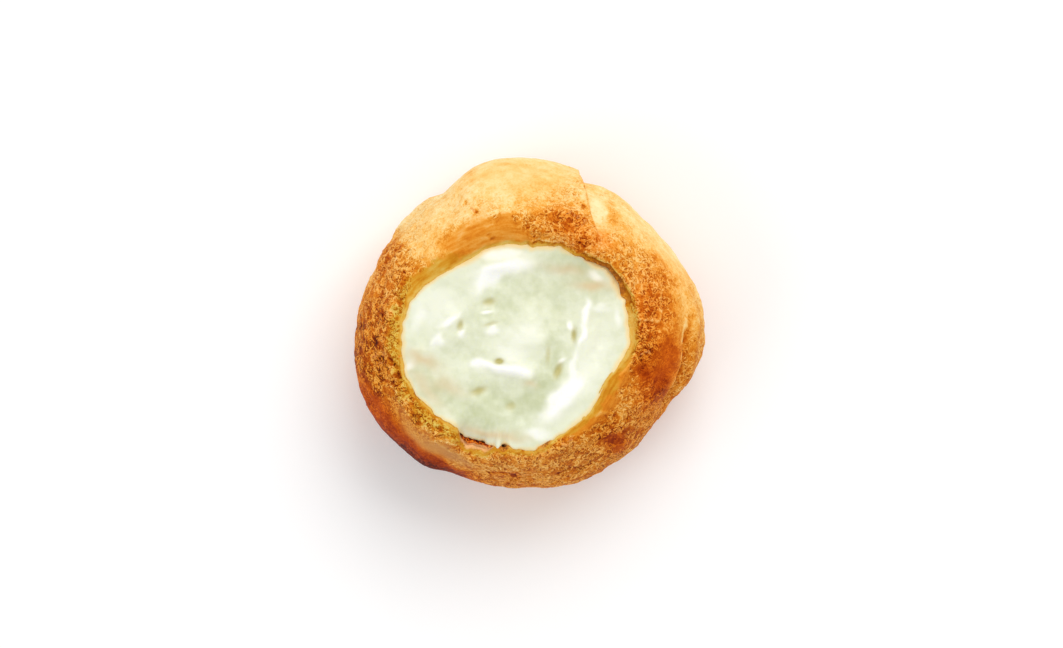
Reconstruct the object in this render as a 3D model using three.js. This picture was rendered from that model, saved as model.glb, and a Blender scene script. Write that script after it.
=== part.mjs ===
// A cream puff: a baked choux bun whose top is torn away, filled with whipped cream up to the torn rim.
//
// Millimetres, +Z up. The origin is the centre of the flat foot, +X points right and +Y points to the back.
// Bearings are in degrees, anticlockwise from +X as seen from above.
// Two solids: the hollow shell, and the cream that fills it with a small clearance all round.

import * as THREE from "three";
import { ParametricGeometry } from "three/addons/geometries/ParametricGeometry.js";

// ---- Driving dimensions ----

const WALL = 2.4; // thickness of the baked shell
const GAP = 0.3; // clearance between the shell and the cream
const EDGE_GAP = 0.36; // clearance in plan between the torn crumb and the cream's edge
const FOOT_SHARE = 0.69; // radius of the flat foot, as a share of the bun's radius
const FOOT_BLEND = 4; // height over which the crust's lumps set in above the flat foot
const EQUATOR = 17; // height of the widest part
const DOME_RISE = 28; // rise of the whole dome above the widest part, before its top was torn away
const DOME_FULLNESS = 2.15; // exponent of the dome's section: 2 is an ellipse, more is squarer

// A lobe swells a radius or a depth round one bearing, over a spread in degrees.
const bunOutline = {
  radius: 33.4,
  lobes: [
    { bearing: 358, spread: 25, swell: 4.2 }, // right
    { bearing: 98, spread: 17, swell: 2.3, power: 4 }, // back, next to the fold
    { bearing: 120, spread: 20, swell: 0.8 }, // back left
    { bearing: 204, spread: 45, swell: 5.3, power: 2.2 }, // front left
    { bearing: 234, spread: 10, swell: 0.45 }, // its corner next to the front
    { bearing: 288, spread: 34, swell: 2.0 }, // front
  ],
};
const openingCentre = new THREE.Vector2(-3.1, -4.3);
const openingOutline = {
  radius: 19.5,
  lobes: [
    { bearing: 23, spread: 37, swell: 4.3, power: 3 },
    { bearing: 66, spread: 11, swell: 1.1 },
    { bearing: 95, spread: 16, swell: 0.8 },
    { bearing: 183, spread: 44, swell: 3.9, power: 3 },
    { bearing: 249, spread: 12, swell: 1.3, power: 4 },
    { bearing: 278, spread: 14, swell: 2.7 },
    { bearing: 310, spread: 18, swell: 0.9 },
  ],
};

// The torn rim: its crumb edge, the way it folds in towards the cream, and the tear, where it stands clear
// of the cream.
const EDGE_WIDTH = 0.9;
const EDGE_DROP = 0.7;
const rimFoldWidth = { radius: 3.4, lobes: [{ bearing: 100, spread: 52, swell: 4.0 }] };
const rimFoldDepth = {
  radius: 1.2,
  lobes: [
    { bearing: 95, spread: 48, swell: 4.6 },
    { bearing: 12, spread: 42, swell: 2.2 },
  ],
};
const tear = { bearing: 249, spread: 11, swell: 2.2, power: 4 };

// The back lobe of crust overlaps the right one along this line, seen from above.
const overlap = {
  from: new THREE.Vector2(11.3, 30.0),
  to: new THREE.Vector2(13.9, 19.2),
  raise: 0.9, // of the back lobe, fading over raiseReach
  raiseReach: 6,
  sink: 1.1, // of the right lobe, fading over sinkReach
  sinkReach: 4,
  stepWidth: 1.2,
  fadeFrom: 0.8, // shares of the line's length over which the step dies away at its inner end
  fadeTo: 1.5,
  low: 6, // heights over which it sets in on the flank
  high: 14,
};

// The crease under the right lobe, where it overhangs the skirt, and the skirt's bulge below it.
const crease = {
  bearing: 347,
  spread: 20,
  height: 29.6, // in its middle
  climb: 4, // from there to one spread further round
  droop: 2.2, // at one spread to either side
  halfWidth: 1.5,
  depth: 1.2,
  skirtBelow: 3.2,
  skirtReach: 2.2,
  skirtBulge: 0.7,
};

// Furrows where the crust split as the bun rose.
const furrows = [
  { bearing: 22, spread: 5, depth: 1.0, low: 2, high: 16 },
  { bearing: 69.5, spread: 4, depth: 0.4, low: 6, high: 27 },
  { bearing: 100, spread: 6, depth: 1.0, low: 3, high: 17 },
  { bearing: 123, spread: 5, depth: 0.9, low: 8, high: 34 },
  { bearing: 161, spread: 8, depth: 1.1, low: 8, high: 30 },
  { bearing: 204, spread: 6, depth: 0.8, low: 2, high: 21 },
  { bearing: 238, spread: 5, depth: 0.3, low: 6, high: 22 },
  { bearing: 283, spread: 5, depth: 1.0, low: 3, high: 18 },
  { bearing: 330, spread: 5, depth: 0.4, low: 7, high: 30 },
];

// Lumps all over the crust: size is the spacing of the lumps, height how far they swell or sink.
const lumps = [
  { size: 12, height: 0.8, seed: 3 },
  { size: 5.5, height: 0.45, seed: 8 },
];

// The cream's surface: a soft cushion with swells and hollows left by the spoon, each an oval in plan.
const CREAM_LEVEL = 36.0; // height of its middle
const CREAM_SHOULDER = 0.3; // share of the way in from its edge over which it rises to that
const swells = [
  { at: [-5.3, 13.1], length: 7.5, width: 2.6, turn: 0, height: 1.1 }, // back ridge
  { at: [4.6, 6.5], length: 8.5, width: 3.4, turn: 100, height: -1.1 }, // valley right of it
  { at: [1.2, -4.7], length: 5.0, width: 3.4, turn: 20, height: 0.8 }, // middle mound
  { at: [-3.4, -9.6], length: 6.5, width: 1.8, turn: -12, height: 1.0 }, // front ridge
  { at: [-6.6, -15.2], length: 7.0, width: 3.0, turn: -15, height: -0.8 }, // hollow in front of it
  { at: [7.8, -16.4], length: 7.0, width: 2.2, turn: 42, height: 1.1 }, // smear at the front right
  { at: [-17.0, -0.8], length: 4.2, width: 3.2, turn: 60, height: 0.8 }, // left mound
  { at: [11.4, -3.2], length: 5.0, width: 2.2, turn: 80, height: 0.7 }, // right mound
  { at: [-11.0, -8.0], length: 4.6, width: 2.6, turn: -30, height: -0.6 }, // left hollow
];
const creamLumps = [{ size: 7, height: 0.5, seed: 21 }];

// How finely each surface is divided.
const AZIMUTHS = 120;
const shellRows = { foot: 1, flank: 7, dome: 13, edge: 1, cavityDome: 5, cavityFlank: 3, floor: 1 };
const creamRows = { floor: 1, flank: 3, dome: 5, edge: 1, top: 14 };

// ---- Helpers ----

const radians = THREE.MathUtils.degToRad;
const { lerp, smoothstep } = THREE.MathUtils;

// Degrees from one bearing to another, between -180 and 180.
const turnBetween = (from, to) => ((((to - from + 180) % 360) + 360) % 360) - 180;

const lobe = ({ bearing, spread, swell, power = 2.4 }, at) =>
  swell * Math.exp(-(Math.abs(turnBetween(bearing, at) / spread) ** power));

const lobed = ({ radius, lobes }, at) => lobes.reduce((sum, one) => sum + lobe(one, at), radius);

const direction = (bearing) => new THREE.Vector2(Math.cos(radians(bearing)), Math.sin(radians(bearing)));

// A repeatable value from -1 to 1 for each corner of a cubic lattice.
function latticeValue(i, j, k, seed) {
  let hash = Math.imul(i, 374761393) + Math.imul(j, 668265263) + Math.imul(k, 1440662683);
  hash = (hash + Math.imul(seed, 461845907)) | 0;
  hash = Math.imul(hash ^ (hash >>> 13), 1274126177);
  return (((hash ^ (hash >>> 16)) >>> 0) / 0xffffffff) * 2 - 1;
}

// Smooth noise: the lattice's values, blended across each cell.
function noise(point, size, seed) {
  const place = point.clone().divideScalar(size);
  const cell = place.clone().floor();
  const ease = place.sub(cell).toArray().map((t) => t * t * t * (t * (6 * t - 15) + 10));
  const corner = (di, dj, dk) => latticeValue(cell.x + di, cell.y + dj, cell.z + dk, seed);
  const edge = (dj, dk) => lerp(corner(0, dj, dk), corner(1, dj, dk), ease[0]);
  const face = (dk) => lerp(edge(0, dk), edge(1, dk), ease[1]);
  return lerp(face(0), face(1), ease[2]);
}

const noiseSum = (layers, point) =>
  layers.reduce((sum, { size, height, seed }) => sum + height * noise(point, size, seed), 0);

// ---- The crust ----

// Radius of the opening about its own centre, without and with the tear.
const openingRadius = (bearing) => lobed(openingOutline, bearing);
const tornRadius = (bearing) => openingRadius(bearing) + lobe(tear, bearing);

// The bun before its lumps. Climb runs from -1 at the rim of the foot to 0 at the widest part and 1 at the
// torn rim.
function smoothCrust(bearing, climb, lipRadius) {
  const outward = direction(bearing);
  const widest = lobed(bunOutline, bearing);
  if (climb < 0) {
    const angle = (climb * Math.PI) / 2;
    const reach = widest * lerp(FOOT_SHARE, 1, Math.cos(angle));
    return new THREE.Vector3(outward.x * reach, outward.y * reach, EQUATOR * (1 + Math.sin(angle)));
  }
  const inward = 1 - Math.cos((climb * Math.PI) / 2);
  const lip = openingCentre.clone().addScaledVector(outward, lipRadius(bearing) + EDGE_WIDTH);
  const plan = outward.clone().multiplyScalar(widest).lerp(lip, inward);
  const share = Math.min(plan.length() / widest, 1);
  const height = EQUATOR + DOME_RISE * (1 - share ** DOME_FULLNESS) ** (1 / DOME_FULLNESS);
  const fromLip = (1 - inward) * lip.distanceTo(outward.clone().multiplyScalar(widest));
  const folded = Math.max(0, 1 - fromLip / lobed(rimFoldWidth, bearing)) ** 2;
  return new THREE.Vector3(plan.x, plan.y, height - folded * lobed(rimFoldDepth, bearing));
}

// Outward unit normal of the smooth bun, from a small step along each of its two parameters.
function crustNormal(bearing, climb, lipRadius) {
  const step = 1e-3;
  const at = (turned, climbed) => smoothCrust(turned, climbed, lipRadius);
  const along = at(bearing, Math.min(climb + step, 1)).sub(at(bearing, Math.max(climb - step, -1)));
  const around = at(bearing + 1, climb).sub(at(bearing - 1, climb));
  return around.cross(along).normalize();
}

// The step where the back lobe overlaps the right one.
function overlapRelief(point) {
  const run = overlap.to.clone().sub(overlap.from);
  const offset = new THREE.Vector2(point.x, point.y).sub(overlap.from);
  const along = offset.dot(run) / run.lengthSq();
  const side = offset.cross(run) / -run.length(); // positive to the right of the line
  const beyond = smoothstep(side, -overlap.stepWidth / 2, overlap.stepWidth / 2);
  const raised = overlap.raise * Math.exp(-((side / overlap.raiseReach) ** 2));
  const sunk = overlap.sink * Math.exp(-((side / overlap.sinkReach) ** 2));
  const present = 1 - smoothstep(along, overlap.fadeFrom, overlap.fadeTo);
  return present * smoothstep(point.z, overlap.low, overlap.high) * lerp(raised, -sunk, beyond);
}

function creaseRelief(bearing, height) {
  const turn = turnBetween(crease.bearing, bearing) / crease.spread;
  const above = height - crease.height - crease.climb * turn + crease.droop * turn * turn;
  const groove = crease.depth * Math.exp(-((above / crease.halfWidth) ** 2));
  const bulge = crease.skirtBulge * Math.exp(-(((above + crease.skirtBelow) / crease.skirtReach) ** 2));
  return Math.exp(-(turn ** 4)) * (bulge - groove);
}

function furrowRelief(bearing, height) {
  return furrows.reduce((sum, { spread, depth, low, high, ...furrow }) => {
    const turn = turnBetween(furrow.bearing, bearing) / spread;
    const middle = (low + high) / 2;
    const along = (height - middle) / (high - middle);
    return sum - depth * Math.exp(-turn * turn - along ** 4);
  }, 0);
}

function crustPoint(bearing, climb) {
  const point = smoothCrust(bearing, climb, tornRadius);
  const relief =
    noiseSum(lumps, point) +
    overlapRelief(point) +
    creaseRelief(bearing, point.z) +
    furrowRelief(bearing, point.z);
  const aboveFoot = smoothstep(point.z, 0, FOOT_BLEND);
  return point.addScaledVector(crustNormal(bearing, climb, tornRadius), relief * aboveFoot);
}

// A surface inside the bun, at one depth below its smooth crust.
function insetPoint(bearing, climb, depth) {
  const inward = crustNormal(bearing, climb, openingRadius).negate();
  return smoothCrust(bearing, climb, openingRadius).addScaledVector(inward, depth);
}

// The lowest, innermost line of the torn crumb.
function tornEdge(bearing) {
  const reach = direction(bearing).multiplyScalar(tornRadius(bearing)).add(openingCentre);
  return new THREE.Vector3(reach.x, reach.y, crustPoint(bearing, 1).z - EDGE_DROP);
}

// ---- The cream's top ----

function swellHeight({ at, length, width, turn, height }, x, y) {
  const offset = new THREE.Vector2(x - at[0], y - at[1]).rotateAround(new THREE.Vector2(), -radians(turn));
  return height * Math.exp(-((offset.x / length) ** 2) - (offset.y / width) ** 2);
}

// Inward runs from 0 at the cream's edge, just inside and below the torn rim, to 1 at its middle.
function creamTop(bearing, inward) {
  const edgeRadius = openingRadius(bearing) - EDGE_GAP;
  const plan = direction(bearing).multiplyScalar(edgeRadius * (1 - inward)).add(openingCentre);
  const edgeHeight = tornEdge(bearing).z - GAP;
  const relief =
    swells.reduce((sum, swell) => sum + swellHeight(swell, plan.x, plan.y), 0) +
    noiseSum(creamLumps, new THREE.Vector3(plan.x, plan.y, 0));
  const risen = 1 - (1 - Math.min(inward / CREAM_SHOULDER, 1)) ** 2;
  return new THREE.Vector3(plan.x, plan.y, lerp(edgeHeight, CREAM_LEVEL + relief, risen));
}

// ---- Closed surfaces, as stretches of rows from one pole to the other ----

// Each stretch is a number of rows and a function of the bearing and of the share of the stretch passed.
function closedSurface(stretches) {
  const rowCount = stretches.reduce((sum, { rows }) => sum + rows, 0);
  const surface = (u, v, target) => {
    let row = v * rowCount;
    let stretch = stretches[0];
    for (const next of stretches) {
      stretch = next;
      if (row <= next.rows + 1e-6) break;
      row -= next.rows;
    }
    target.copy(stretch.point((u % 1) * 360, Math.min(row / stretch.rows, 1)));
  };
  return new ParametricGeometry(surface, AZIMUTHS, rowCount);
}

function shellGeometry() {
  const underside = new THREE.Vector3(0, 0, 0);
  const floor = new THREE.Vector3(0, 0, WALL);
  const inside = (bearing, climb) => insetPoint(bearing, climb, WALL);
  const rows = shellRows;
  return closedSurface([
    { rows: rows.foot, point: (bearing, share) => underside.clone().lerp(crustPoint(bearing, -1), share) },
    { rows: rows.flank, point: (bearing, share) => crustPoint(bearing, share - 1) },
    { rows: rows.dome, point: (bearing, share) => crustPoint(bearing, share) },
    { rows: rows.edge, point: (bearing, share) => crustPoint(bearing, 1).lerp(tornEdge(bearing), share) },
    { rows: 1, point: (bearing, share) => tornEdge(bearing).lerp(inside(bearing, 1), share) },
    { rows: rows.cavityDome, point: (bearing, share) => inside(bearing, 1 - share) },
    { rows: rows.cavityFlank, point: (bearing, share) => inside(bearing, -share) },
    { rows: rows.floor, point: (bearing, share) => inside(bearing, -1).lerp(floor, share) },
  ]);
}

function creamGeometry() {
  const floor = new THREE.Vector3(0, 0, WALL + GAP);
  const side = (bearing, climb) => insetPoint(bearing, climb, WALL + GAP);
  const rows = creamRows;
  return closedSurface([
    { rows: rows.floor, point: (bearing, share) => floor.clone().lerp(side(bearing, -1), share) },
    { rows: rows.flank, point: (bearing, share) => side(bearing, share - 1) },
    { rows: rows.dome, point: (bearing, share) => side(bearing, share) },
    { rows: rows.edge, point: (bearing, share) => side(bearing, 1).lerp(creamTop(bearing, 0), share) },
    { rows: rows.top, point: (bearing, share) => creamTop(bearing, share) },
  ]);
}

// ---- The assembled puff ----

function piece(name, geometry, material) {
  const mesh = new THREE.Mesh(geometry, material);
  mesh.name = name;
  return mesh;
}

const crustMaterial = new THREE.MeshStandardMaterial({ color: 0xcf8636, roughness: 0.62, metalness: 0 });
const creamMaterial = new THREE.MeshStandardMaterial({ color: 0xf8f7e6, roughness: 0.4, metalness: 0 });

const puff = new THREE.Group();
puff.add(piece("choux_shell", shellGeometry(), crustMaterial));
puff.add(piece("cream_filling", creamGeometry(), creamMaterial));

// Centre the outline on the origin.
const middle = new THREE.Box3().setFromObject(puff).getCenter(new THREE.Vector3());
for (const mesh of puff.children) mesh.position.set(-middle.x, -middle.y, 0);

export default puff;
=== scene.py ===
"""A cream puff: a crackled choux crust torn open at the top, the whipped cream in it, and loose crumbs.

The file is laid out as an add-on and is run as a script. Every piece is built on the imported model's frame.
Shapes are worked out in millimetres, +Z up, and go into the meshes in metres. Bearings are in degrees,
anticlockwise from +X as seen from above, and places in plan are x and y from the middle of the foot.
"""

from functools import partial
from typing import NamedTuple

import bpy
import numpy as np
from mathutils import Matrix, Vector


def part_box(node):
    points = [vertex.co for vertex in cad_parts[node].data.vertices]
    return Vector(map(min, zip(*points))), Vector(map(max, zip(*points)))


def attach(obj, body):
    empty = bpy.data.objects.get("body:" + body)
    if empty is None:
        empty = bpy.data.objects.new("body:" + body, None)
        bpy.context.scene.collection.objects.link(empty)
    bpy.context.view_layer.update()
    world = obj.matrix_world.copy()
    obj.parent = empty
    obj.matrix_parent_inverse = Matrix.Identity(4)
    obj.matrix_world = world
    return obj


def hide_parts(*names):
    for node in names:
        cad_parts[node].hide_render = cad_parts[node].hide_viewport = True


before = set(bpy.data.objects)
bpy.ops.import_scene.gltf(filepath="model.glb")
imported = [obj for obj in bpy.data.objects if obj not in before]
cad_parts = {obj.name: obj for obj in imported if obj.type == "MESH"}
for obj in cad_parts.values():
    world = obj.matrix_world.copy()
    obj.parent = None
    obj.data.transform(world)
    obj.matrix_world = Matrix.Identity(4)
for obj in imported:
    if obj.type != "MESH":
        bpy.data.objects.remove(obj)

bl_info = {
    "name": "Cream Puff",
    "version": (1, 0, 0),
    "blender": (4, 5, 0),
    "location": "View3D > Sidebar > Cream Puff",
    "description": "Builds a torn-open cream puff on its packed model",
    "category": "Add Mesh",
}

MM = 0.001


# ---- The forms that shapes are described with ----


class Lobe(NamedTuple):
    """Swells a radius or a depth round one bearing, over a spread in degrees."""

    bearing: float
    spread: float
    swell: float
    power: float = 2.4


class Oval(NamedTuple):
    """An oval in plan: half length along turn, half width across, and a level: a height, browning or share.

    In a list of zones, the strength is how far it moves the level under it towards its own.
    """

    x: float
    y: float
    length: float
    width: float
    turn: float
    level: float
    strength: float = 0.85


class Furrow(NamedTuple):
    """A groove that runs up the crust at one bearing, between two heights."""

    bearing: float
    spread: float
    depth: float
    low: float
    high: float


class Seam(NamedTuple):
    """A groove along a line in plan, or a thread where the depth is negative, and its painted shading:
    darker along a groove, paler along a thread.
    """

    width: float
    depth: float
    tone: float
    line: tuple


class Layer(NamedTuple):
    """One layer of noise: the spacing of its lumps, how far they swell or sink, and its seed."""

    size: float
    height: float
    seed: int


# ---- Driving dimensions, the same as the solid's, in millimetres ----

WALL = 2.4
GAP = 0.3
FOOT_SHARE = 0.69
EQUATOR = 17.0
DOME_RISE = 28.0
DOME_FULLNESS = 2.15
BUN_RADIUS = 33.4
BUN_LOBES = (
    Lobe(358, 25, 4.2),
    Lobe(98, 17, 2.3, 4),
    Lobe(120, 20, 0.8),
    Lobe(204, 45, 5.3, 2.2),
    Lobe(234, 10, 0.45),
    Lobe(288, 34, 2),
)
OPENING_CENTRE = np.array([-3.1, -4.3])
OPENING_RADIUS = 19.5
OPENING_LOBES = (
    Lobe(23, 37, 4.3, 3),
    Lobe(66, 11, 1.1),
    Lobe(95, 16, 0.8),
    Lobe(183, 44, 3.9, 3),
    Lobe(249, 12, 1.3, 4),
    Lobe(278, 14, 2.7),
    Lobe(310, 18, 0.9),
)
TEAR = Lobe(249, 11, 2.2, 4)
EDGE_WIDTH = 0.9
EDGE_DROP = 0.7
FOLD_WIDTH = 3.4
FOLD_WIDTH_LOBES = (Lobe(100, 52, 4),)
FOLD_DEPTH = 1.2
FOLD_DEPTH_LOBES = (Lobe(95, 48, 4.6), Lobe(12, 42, 2.2))

# The line along which the back lobe overlaps the right one.
OVERLAP_FROM = np.array([11.3, 30.0])
OVERLAP_TO = np.array([13.9, 19.2])
OVERLAP_RAISE, OVERLAP_RAISE_REACH = 0.9, 6.0
OVERLAP_SINK, OVERLAP_SINK_REACH = 1.1, 4.0
OVERLAP_STEP = 1.2

# The crease under the right lobe, and the skirt that bulges below it.
CREASE_BEARING, CREASE_SPREAD = 347.0, 20.0
CREASE_HEIGHT, CREASE_CLIMB, CREASE_DROOP = 29.6, 4.0, 2.2
CREASE_HALF_WIDTH, CREASE_DEPTH = 1.5, 1.2
SKIRT_BELOW, SKIRT_REACH, SKIRT_BULGE = 3.2, 2.2, 0.7

FURROWS = (
    Furrow(22, 5, 1, 2, 16),
    Furrow(69.5, 4, 0.4, 6, 27),
    Furrow(100, 6, 1, 3, 17),
    Furrow(123, 5, 0.9, 8, 34),
    Furrow(161, 8, 1.1, 8, 30),
    Furrow(204, 6, 0.8, 2, 21),
    Furrow(238, 5, 0.3, 6, 22),
    Furrow(283, 5, 1, 3, 18),
    Furrow(330, 5, 0.4, 7, 30),
)
LUMPS = (Layer(12, 0.8, 3), Layer(5.5, 0.45, 8))

CREAM_LEVEL = 36.0
CREAM_SHOULDER = 0.3
SWELLS = (
    Oval(-5.3, 13.1, 7.5, 2.6, 0, 1.1),
    Oval(4.6, 6.5, 8.5, 3.4, 100, -1.1),
    Oval(1.2, -4.7, 5, 3.4, 20, 0.8),
    Oval(-3.4, -9.6, 6.5, 1.8, -12, 1),
    Oval(-6.6, -15.2, 7, 3, -15, -0.8),
    Oval(7.8, -16.4, 7, 2.2, 42, 1.1),
    Oval(-17, -0.8, 4.2, 3.2, 60, 0.8),
    Oval(11.4, -3.2, 5, 2.2, 80, 0.7),
    Oval(-11, -8, 4.6, 2.6, -30, -0.6),
)
CREAM_LUMPS = (Layer(7, 0.5, 21),)


# ---- Finer shapes, which only the visible surface has ----

PEBBLES = (Layer(3.1, 0.17, 31), Layer(1.7, 0.11, 32))
RAGGED_LIP = (Layer(3, 0.3, 41), Layer(1.2, 0.34, 42))
RAGGED_REACH = 1.3
# The lip is less ragged along the smooth stretches at the front right and the back left, and more at the back
# and along the tear.
RAGGEDNESS = (
    Lobe(325, 30, -0.85, 6),
    Lobe(125, 33, -0.7, 6),
    Lobe(36, 18, 0.5, 4),
    Lobe(76, 18, 0.5, 4),
    Lobe(249, 13, 0.5, 4),
)
NOTCHES = (
    Lobe(264.5, 2, 1),
    Lobe(287, 3, 0.4),
    Lobe(36, 17, 1.1, 4),
    Lobe(126, 16, -0.4),
    Lobe(172, 9, -0.3),
    Lobe(216, 22, -0.4, 4),
    Lobe(276, 8, -0.3),
)
THROAT_SHELF = 1.1
# Stands for the distance from the lip wherever that is too far to matter.
FAR = 40.0
NET_SPACING, NET_THREAD, NET_RISE, NET_SEED = 1.8, 0.2, 0.18, 75
PIT_SPACING, PIT_DEPTH, PIT_SEED = 1.5, 0.16, 76

# The sharp crest of the back lobe, above the slope that leads in to the cream.
CREST = (Lobe(88, 36, 5.9, 8), Lobe(68, 14, 1.3))
CREST_RISE, CREST_WIDTH = 0.35, 0.9

# Grooves and threads of the crust: painted shade darkens each groove, and painted light pales each thread.
SEAMS = (
    Seam(0.26, 0.34, 0.42, ((11.6, 27.8), (12.1, 26), (12.6, 24.6), (13, 22.6), (13.3, 21.4))),
    Seam(0.26, -0.25, -0.3, ((21.8, 0.8), (24.2, 0.9), (27.2, 0.5), (27.8, 2.5), (27.6, 5.9))),
    Seam(0.24, 0.26, 0.12, ((21.9, 0.2), (24.2, 0.3), (26.8, -0.2))),
    Seam(0.24, -0.18, -0.2, ((18.9, -10.6), (20.5, -9), (21.8, -7.8))),
    Seam(0.4, -0.12, -0.12, ((10.9, -19.9), (12.4, -19.9), (14.9, -18.6), (17.4, -18.9))),
    Seam(0.3, 0.22, 0.26, ((33.9, 1.5), (33.5, -3), (33, -6.6), (32.4, -9.6), (30.5, -13.8), (29, -17))),
    Seam(0.26, -0.2, -0.22, ((33.2, 1), (32.8, -3.2), (32.3, -6.6), (31.6, -9.4), (29.8, -13.4))),
    Seam(0.42, 0.5, 0.36, ((-29.3, -7.1), (-28.5, -8.3), (-27.8, -9.8), (-27, -11.5))),
    Seam(0.28, 0.28, 0.26, ((5.9, -32.1), (8.6, -30.6), (11.2, -31.2), (13.3, -29.9))),
    Seam(0.28, 0.24, 0.24, ((-8.9, -32), (-6.3, -31.3), (-3.7, -32.1))),
    Seam(0.26, -0.2, -0.14, ((-25.6, -15.4), (-22.9, -19.4), (-20.2, -21.8), (-17, -23.4), (-14.4, -24.4))),
    Seam(0.26, -0.16, -0.12, ((-21, -20.4), (-18.6, -20.8), (-16.6, -22.4))),
    Seam(0.24, -0.2, -0.22, ((-21.6, -21.3), (-19.3, -22.9), (-16.9, -24.4), (-15.3, -25.2))),
    Seam(0.22, -0.18, -0.2, ((-20.4, -22.9), (-18.5, -24.8), (-16.1, -26.8))),
    Seam(0.22, -0.18, -0.2, ((-20, -20.7), (-16.9, -21.3), (-15.3, -22.3))),
    Seam(0.22, -0.18, -0.18, ((-27.1, -15.8), (-25.5, -18.2), (-24, -19.7))),
    Seam(0.22, -0.18, -0.2, ((-29.8, -12.3), (-27.5, -14.3), (-25.9, -16.6))),
    Seam(0.26, 0.26, 0.34, ((-0.2, 16.6), (2.2, 16.9), (4.2, 16.4), (5.9, 16.8), (7.4, 16.1))),
    Seam(0.22, -0.2, -0.24, ((0.8, 17.5), (3, 17.5), (4.8, 17.3), (6.6, 17.4), (8.4, 16.5))),
    Seam(0.3, 0.34, 0.42, ((11.3, 14.4), (12.8, 13.8), (14.2, 12.4), (15.7, 11.7), (16.6, 10), (17.9, 9))),
    Seam(0.3, 0.34, 0.42, ((17.9, 9), (18.5, 7.3), (19.6, 5.8), (20.2, 4.2))),
    Seam(0.24, -0.22, -0.28, ((12, 15.2), (13.9, 14.2), (15.2, 13), (17, 12.2), (17.8, 10.6), (19.4, 9.6))),
    Seam(0.22, -0.22, -0.26, ((19.6, 8.6), (20.2, 6.9), (21.6, 5.6))),
)
# Pits sunk into the crust, each darkened by painted shade.
SHADED_PITS = (
    Oval(-8.4, 18.6, 0.4, 0.35, 0, 0.4),
    Oval(-7.6, 17.7, 0.45, 0.4, 0, 0.45),
    Oval(-11, 23.1, 0.6, 0.4, -60, 0.5),
    Oval(-13.2, 25.2, 0.4, 0.3, 0, 0.35),
    Oval(-3.1, -32.5, 0.9, 0.8, 0, 0.45),
    Oval(-0.3, -30.5, 0.7, 0.5, 0, 0.3),
    Oval(11, 23.7, 1.1, 0.6, -30, 0.28),
    Oval(7.8, 21.9, 1.3, 0.5, -10, 0.28),
    Oval(10.1, 20.9, 1.1, 0.6, 0, 0.3),
    Oval(11.2, 16.9, 1.4, 1, 0, 0.22),
    Oval(-31.6, -7.6, 0.9, 0.7, 30, 0.36),
    Oval(-30.4, -9.4, 0.9, 0.6, -30, 0.4),
    Oval(-32.8, -4.2, 0.8, 0.6, 60, 0.36),
    Oval(-36.9, -0.6, 1.4, 0.8, 0, 0.3),
)
PIT_SINK = 0.8

# Roughness of the torn crumb below the edge.
THROAT_ROUGHNESS = (Layer(1.3, 0.22, 79), Layer(0.6, 0.12, 82))

# Small folds and dimples of the cream. The level is the rise, and the strength how far a painted highlight
# whitens a fold, and how far painted shade darkens and yellows a dimple.
CREAM_FOLDS_AND_HIGHLIGHTS = (
    Oval(-5.4, 11.5, 6, 1.7, 12, 0.4, 1.1),
    Oval(-9.2, 8.6, 3, 1.7, 40, 0.35, 0.9),
    Oval(-6, 14.4, 5, 0.8, 3, 0.1, 0.6),
    Oval(-19, 3.4, 4.6, 4.4, 60, 0.1, 0.35),
    Oval(-16.6, 0.5, 2.4, 0.9, 32, 0.4, 0.9),
    Oval(-13.8, -2.3, 1, 0.9, 60, 0.3, 0.9),
    Oval(-19.2, -3.6, 2, 1, 45, 0.3, 0.8),
    Oval(-23.4, 1.4, 2.6, 1.6, 80, 0.1, 0.5),
    Oval(-24.8, -8.6, 1.4, 0.9, 30, 0.2, 0.8),
    Oval(-8.7, 2.3, 1.3, 0.45, 8, 0.3, 0.9),
    Oval(-7.5, -1.4, 1.4, 1, 15, 0.35, 0.9),
    Oval(12.1, 2.3, 2.6, 0.8, 90, 0.4, 1.1),
    Oval(11.2, -2.6, 2.4, 0.8, 78, 0.4, 1.1),
    Oval(8.8, -0.6, 1.2, 0.7, 95, 0.35, 1),
    Oval(-10.5, -8.4, 1.9, 1.3, 0, 0.4, 1),
    Oval(-7.4, -9.2, 3.4, 0.8, -8, 0.3, 0.9),
    Oval(-2.8, -10.1, 3.4, 1.4, -8, 0.4, 1.1),
    Oval(-1.4, -2.8, 4.6, 2.8, 15, 0.25, 0.4),
    Oval(-4, -6.4, 4, 1.6, -5, 0.1, 0.4),
    Oval(6.9, -15.7, 5.8, 2.2, 50, 0.55, 1.3),
    Oval(9.2, -8.4, 3, 0.8, 80, 0.25, 0.6),
    Oval(6.8, -7.7, 1.2, 0.45, 45, 0.3, 0.9),
    Oval(1.6, -23.2, 2.6, 1, -4, 0.15, 0.8),
    Oval(14, 9.7, 2, 0.9, -20, 0.2, 0.8),
    Oval(15, 3.2, 1.8, 0.8, 5, 0.15, 0.5),
    Oval(18.3, 1.4, 2, 0.8, 88, 0.15, 0.6),
    Oval(13, -8, 8, 4, 68, 0, 0.3),
)
# Dimples sunk into the cream, each darkened and yellowed by painted shade.
CREAM_DIMPLES_AND_SHADE = (
    Oval(-14.3, -0.4, 1.2, 0.6, 75, -0.6, 0.8),
    Oval(9.4, -2.4, 1.5, 0.55, 86, -0.8, 1),
    Oval(6.1, -9.9, 1.7, 0.75, 70, -0.7, 1),
    Oval(-6.2, -7.9, 0.95, 0.6, 0, -0.7, 1.4),
    Oval(-10.5, -14.1, 1.7, 0.8, 20, -0.5, 0.9),
    Oval(-3.8, -17.3, 1.1, 0.8, 20, -0.4, 0.6),
    Oval(-8.3, 4.5, 1.4, 0.8, 15, -0.5, 0.8),
    Oval(-8, -0.1, 1.6, 0.4, 15, -0.2, 0.5),
    Oval(4, -6.6, 1.8, 0.5, 85, -0.2, 0.5),
)
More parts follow.
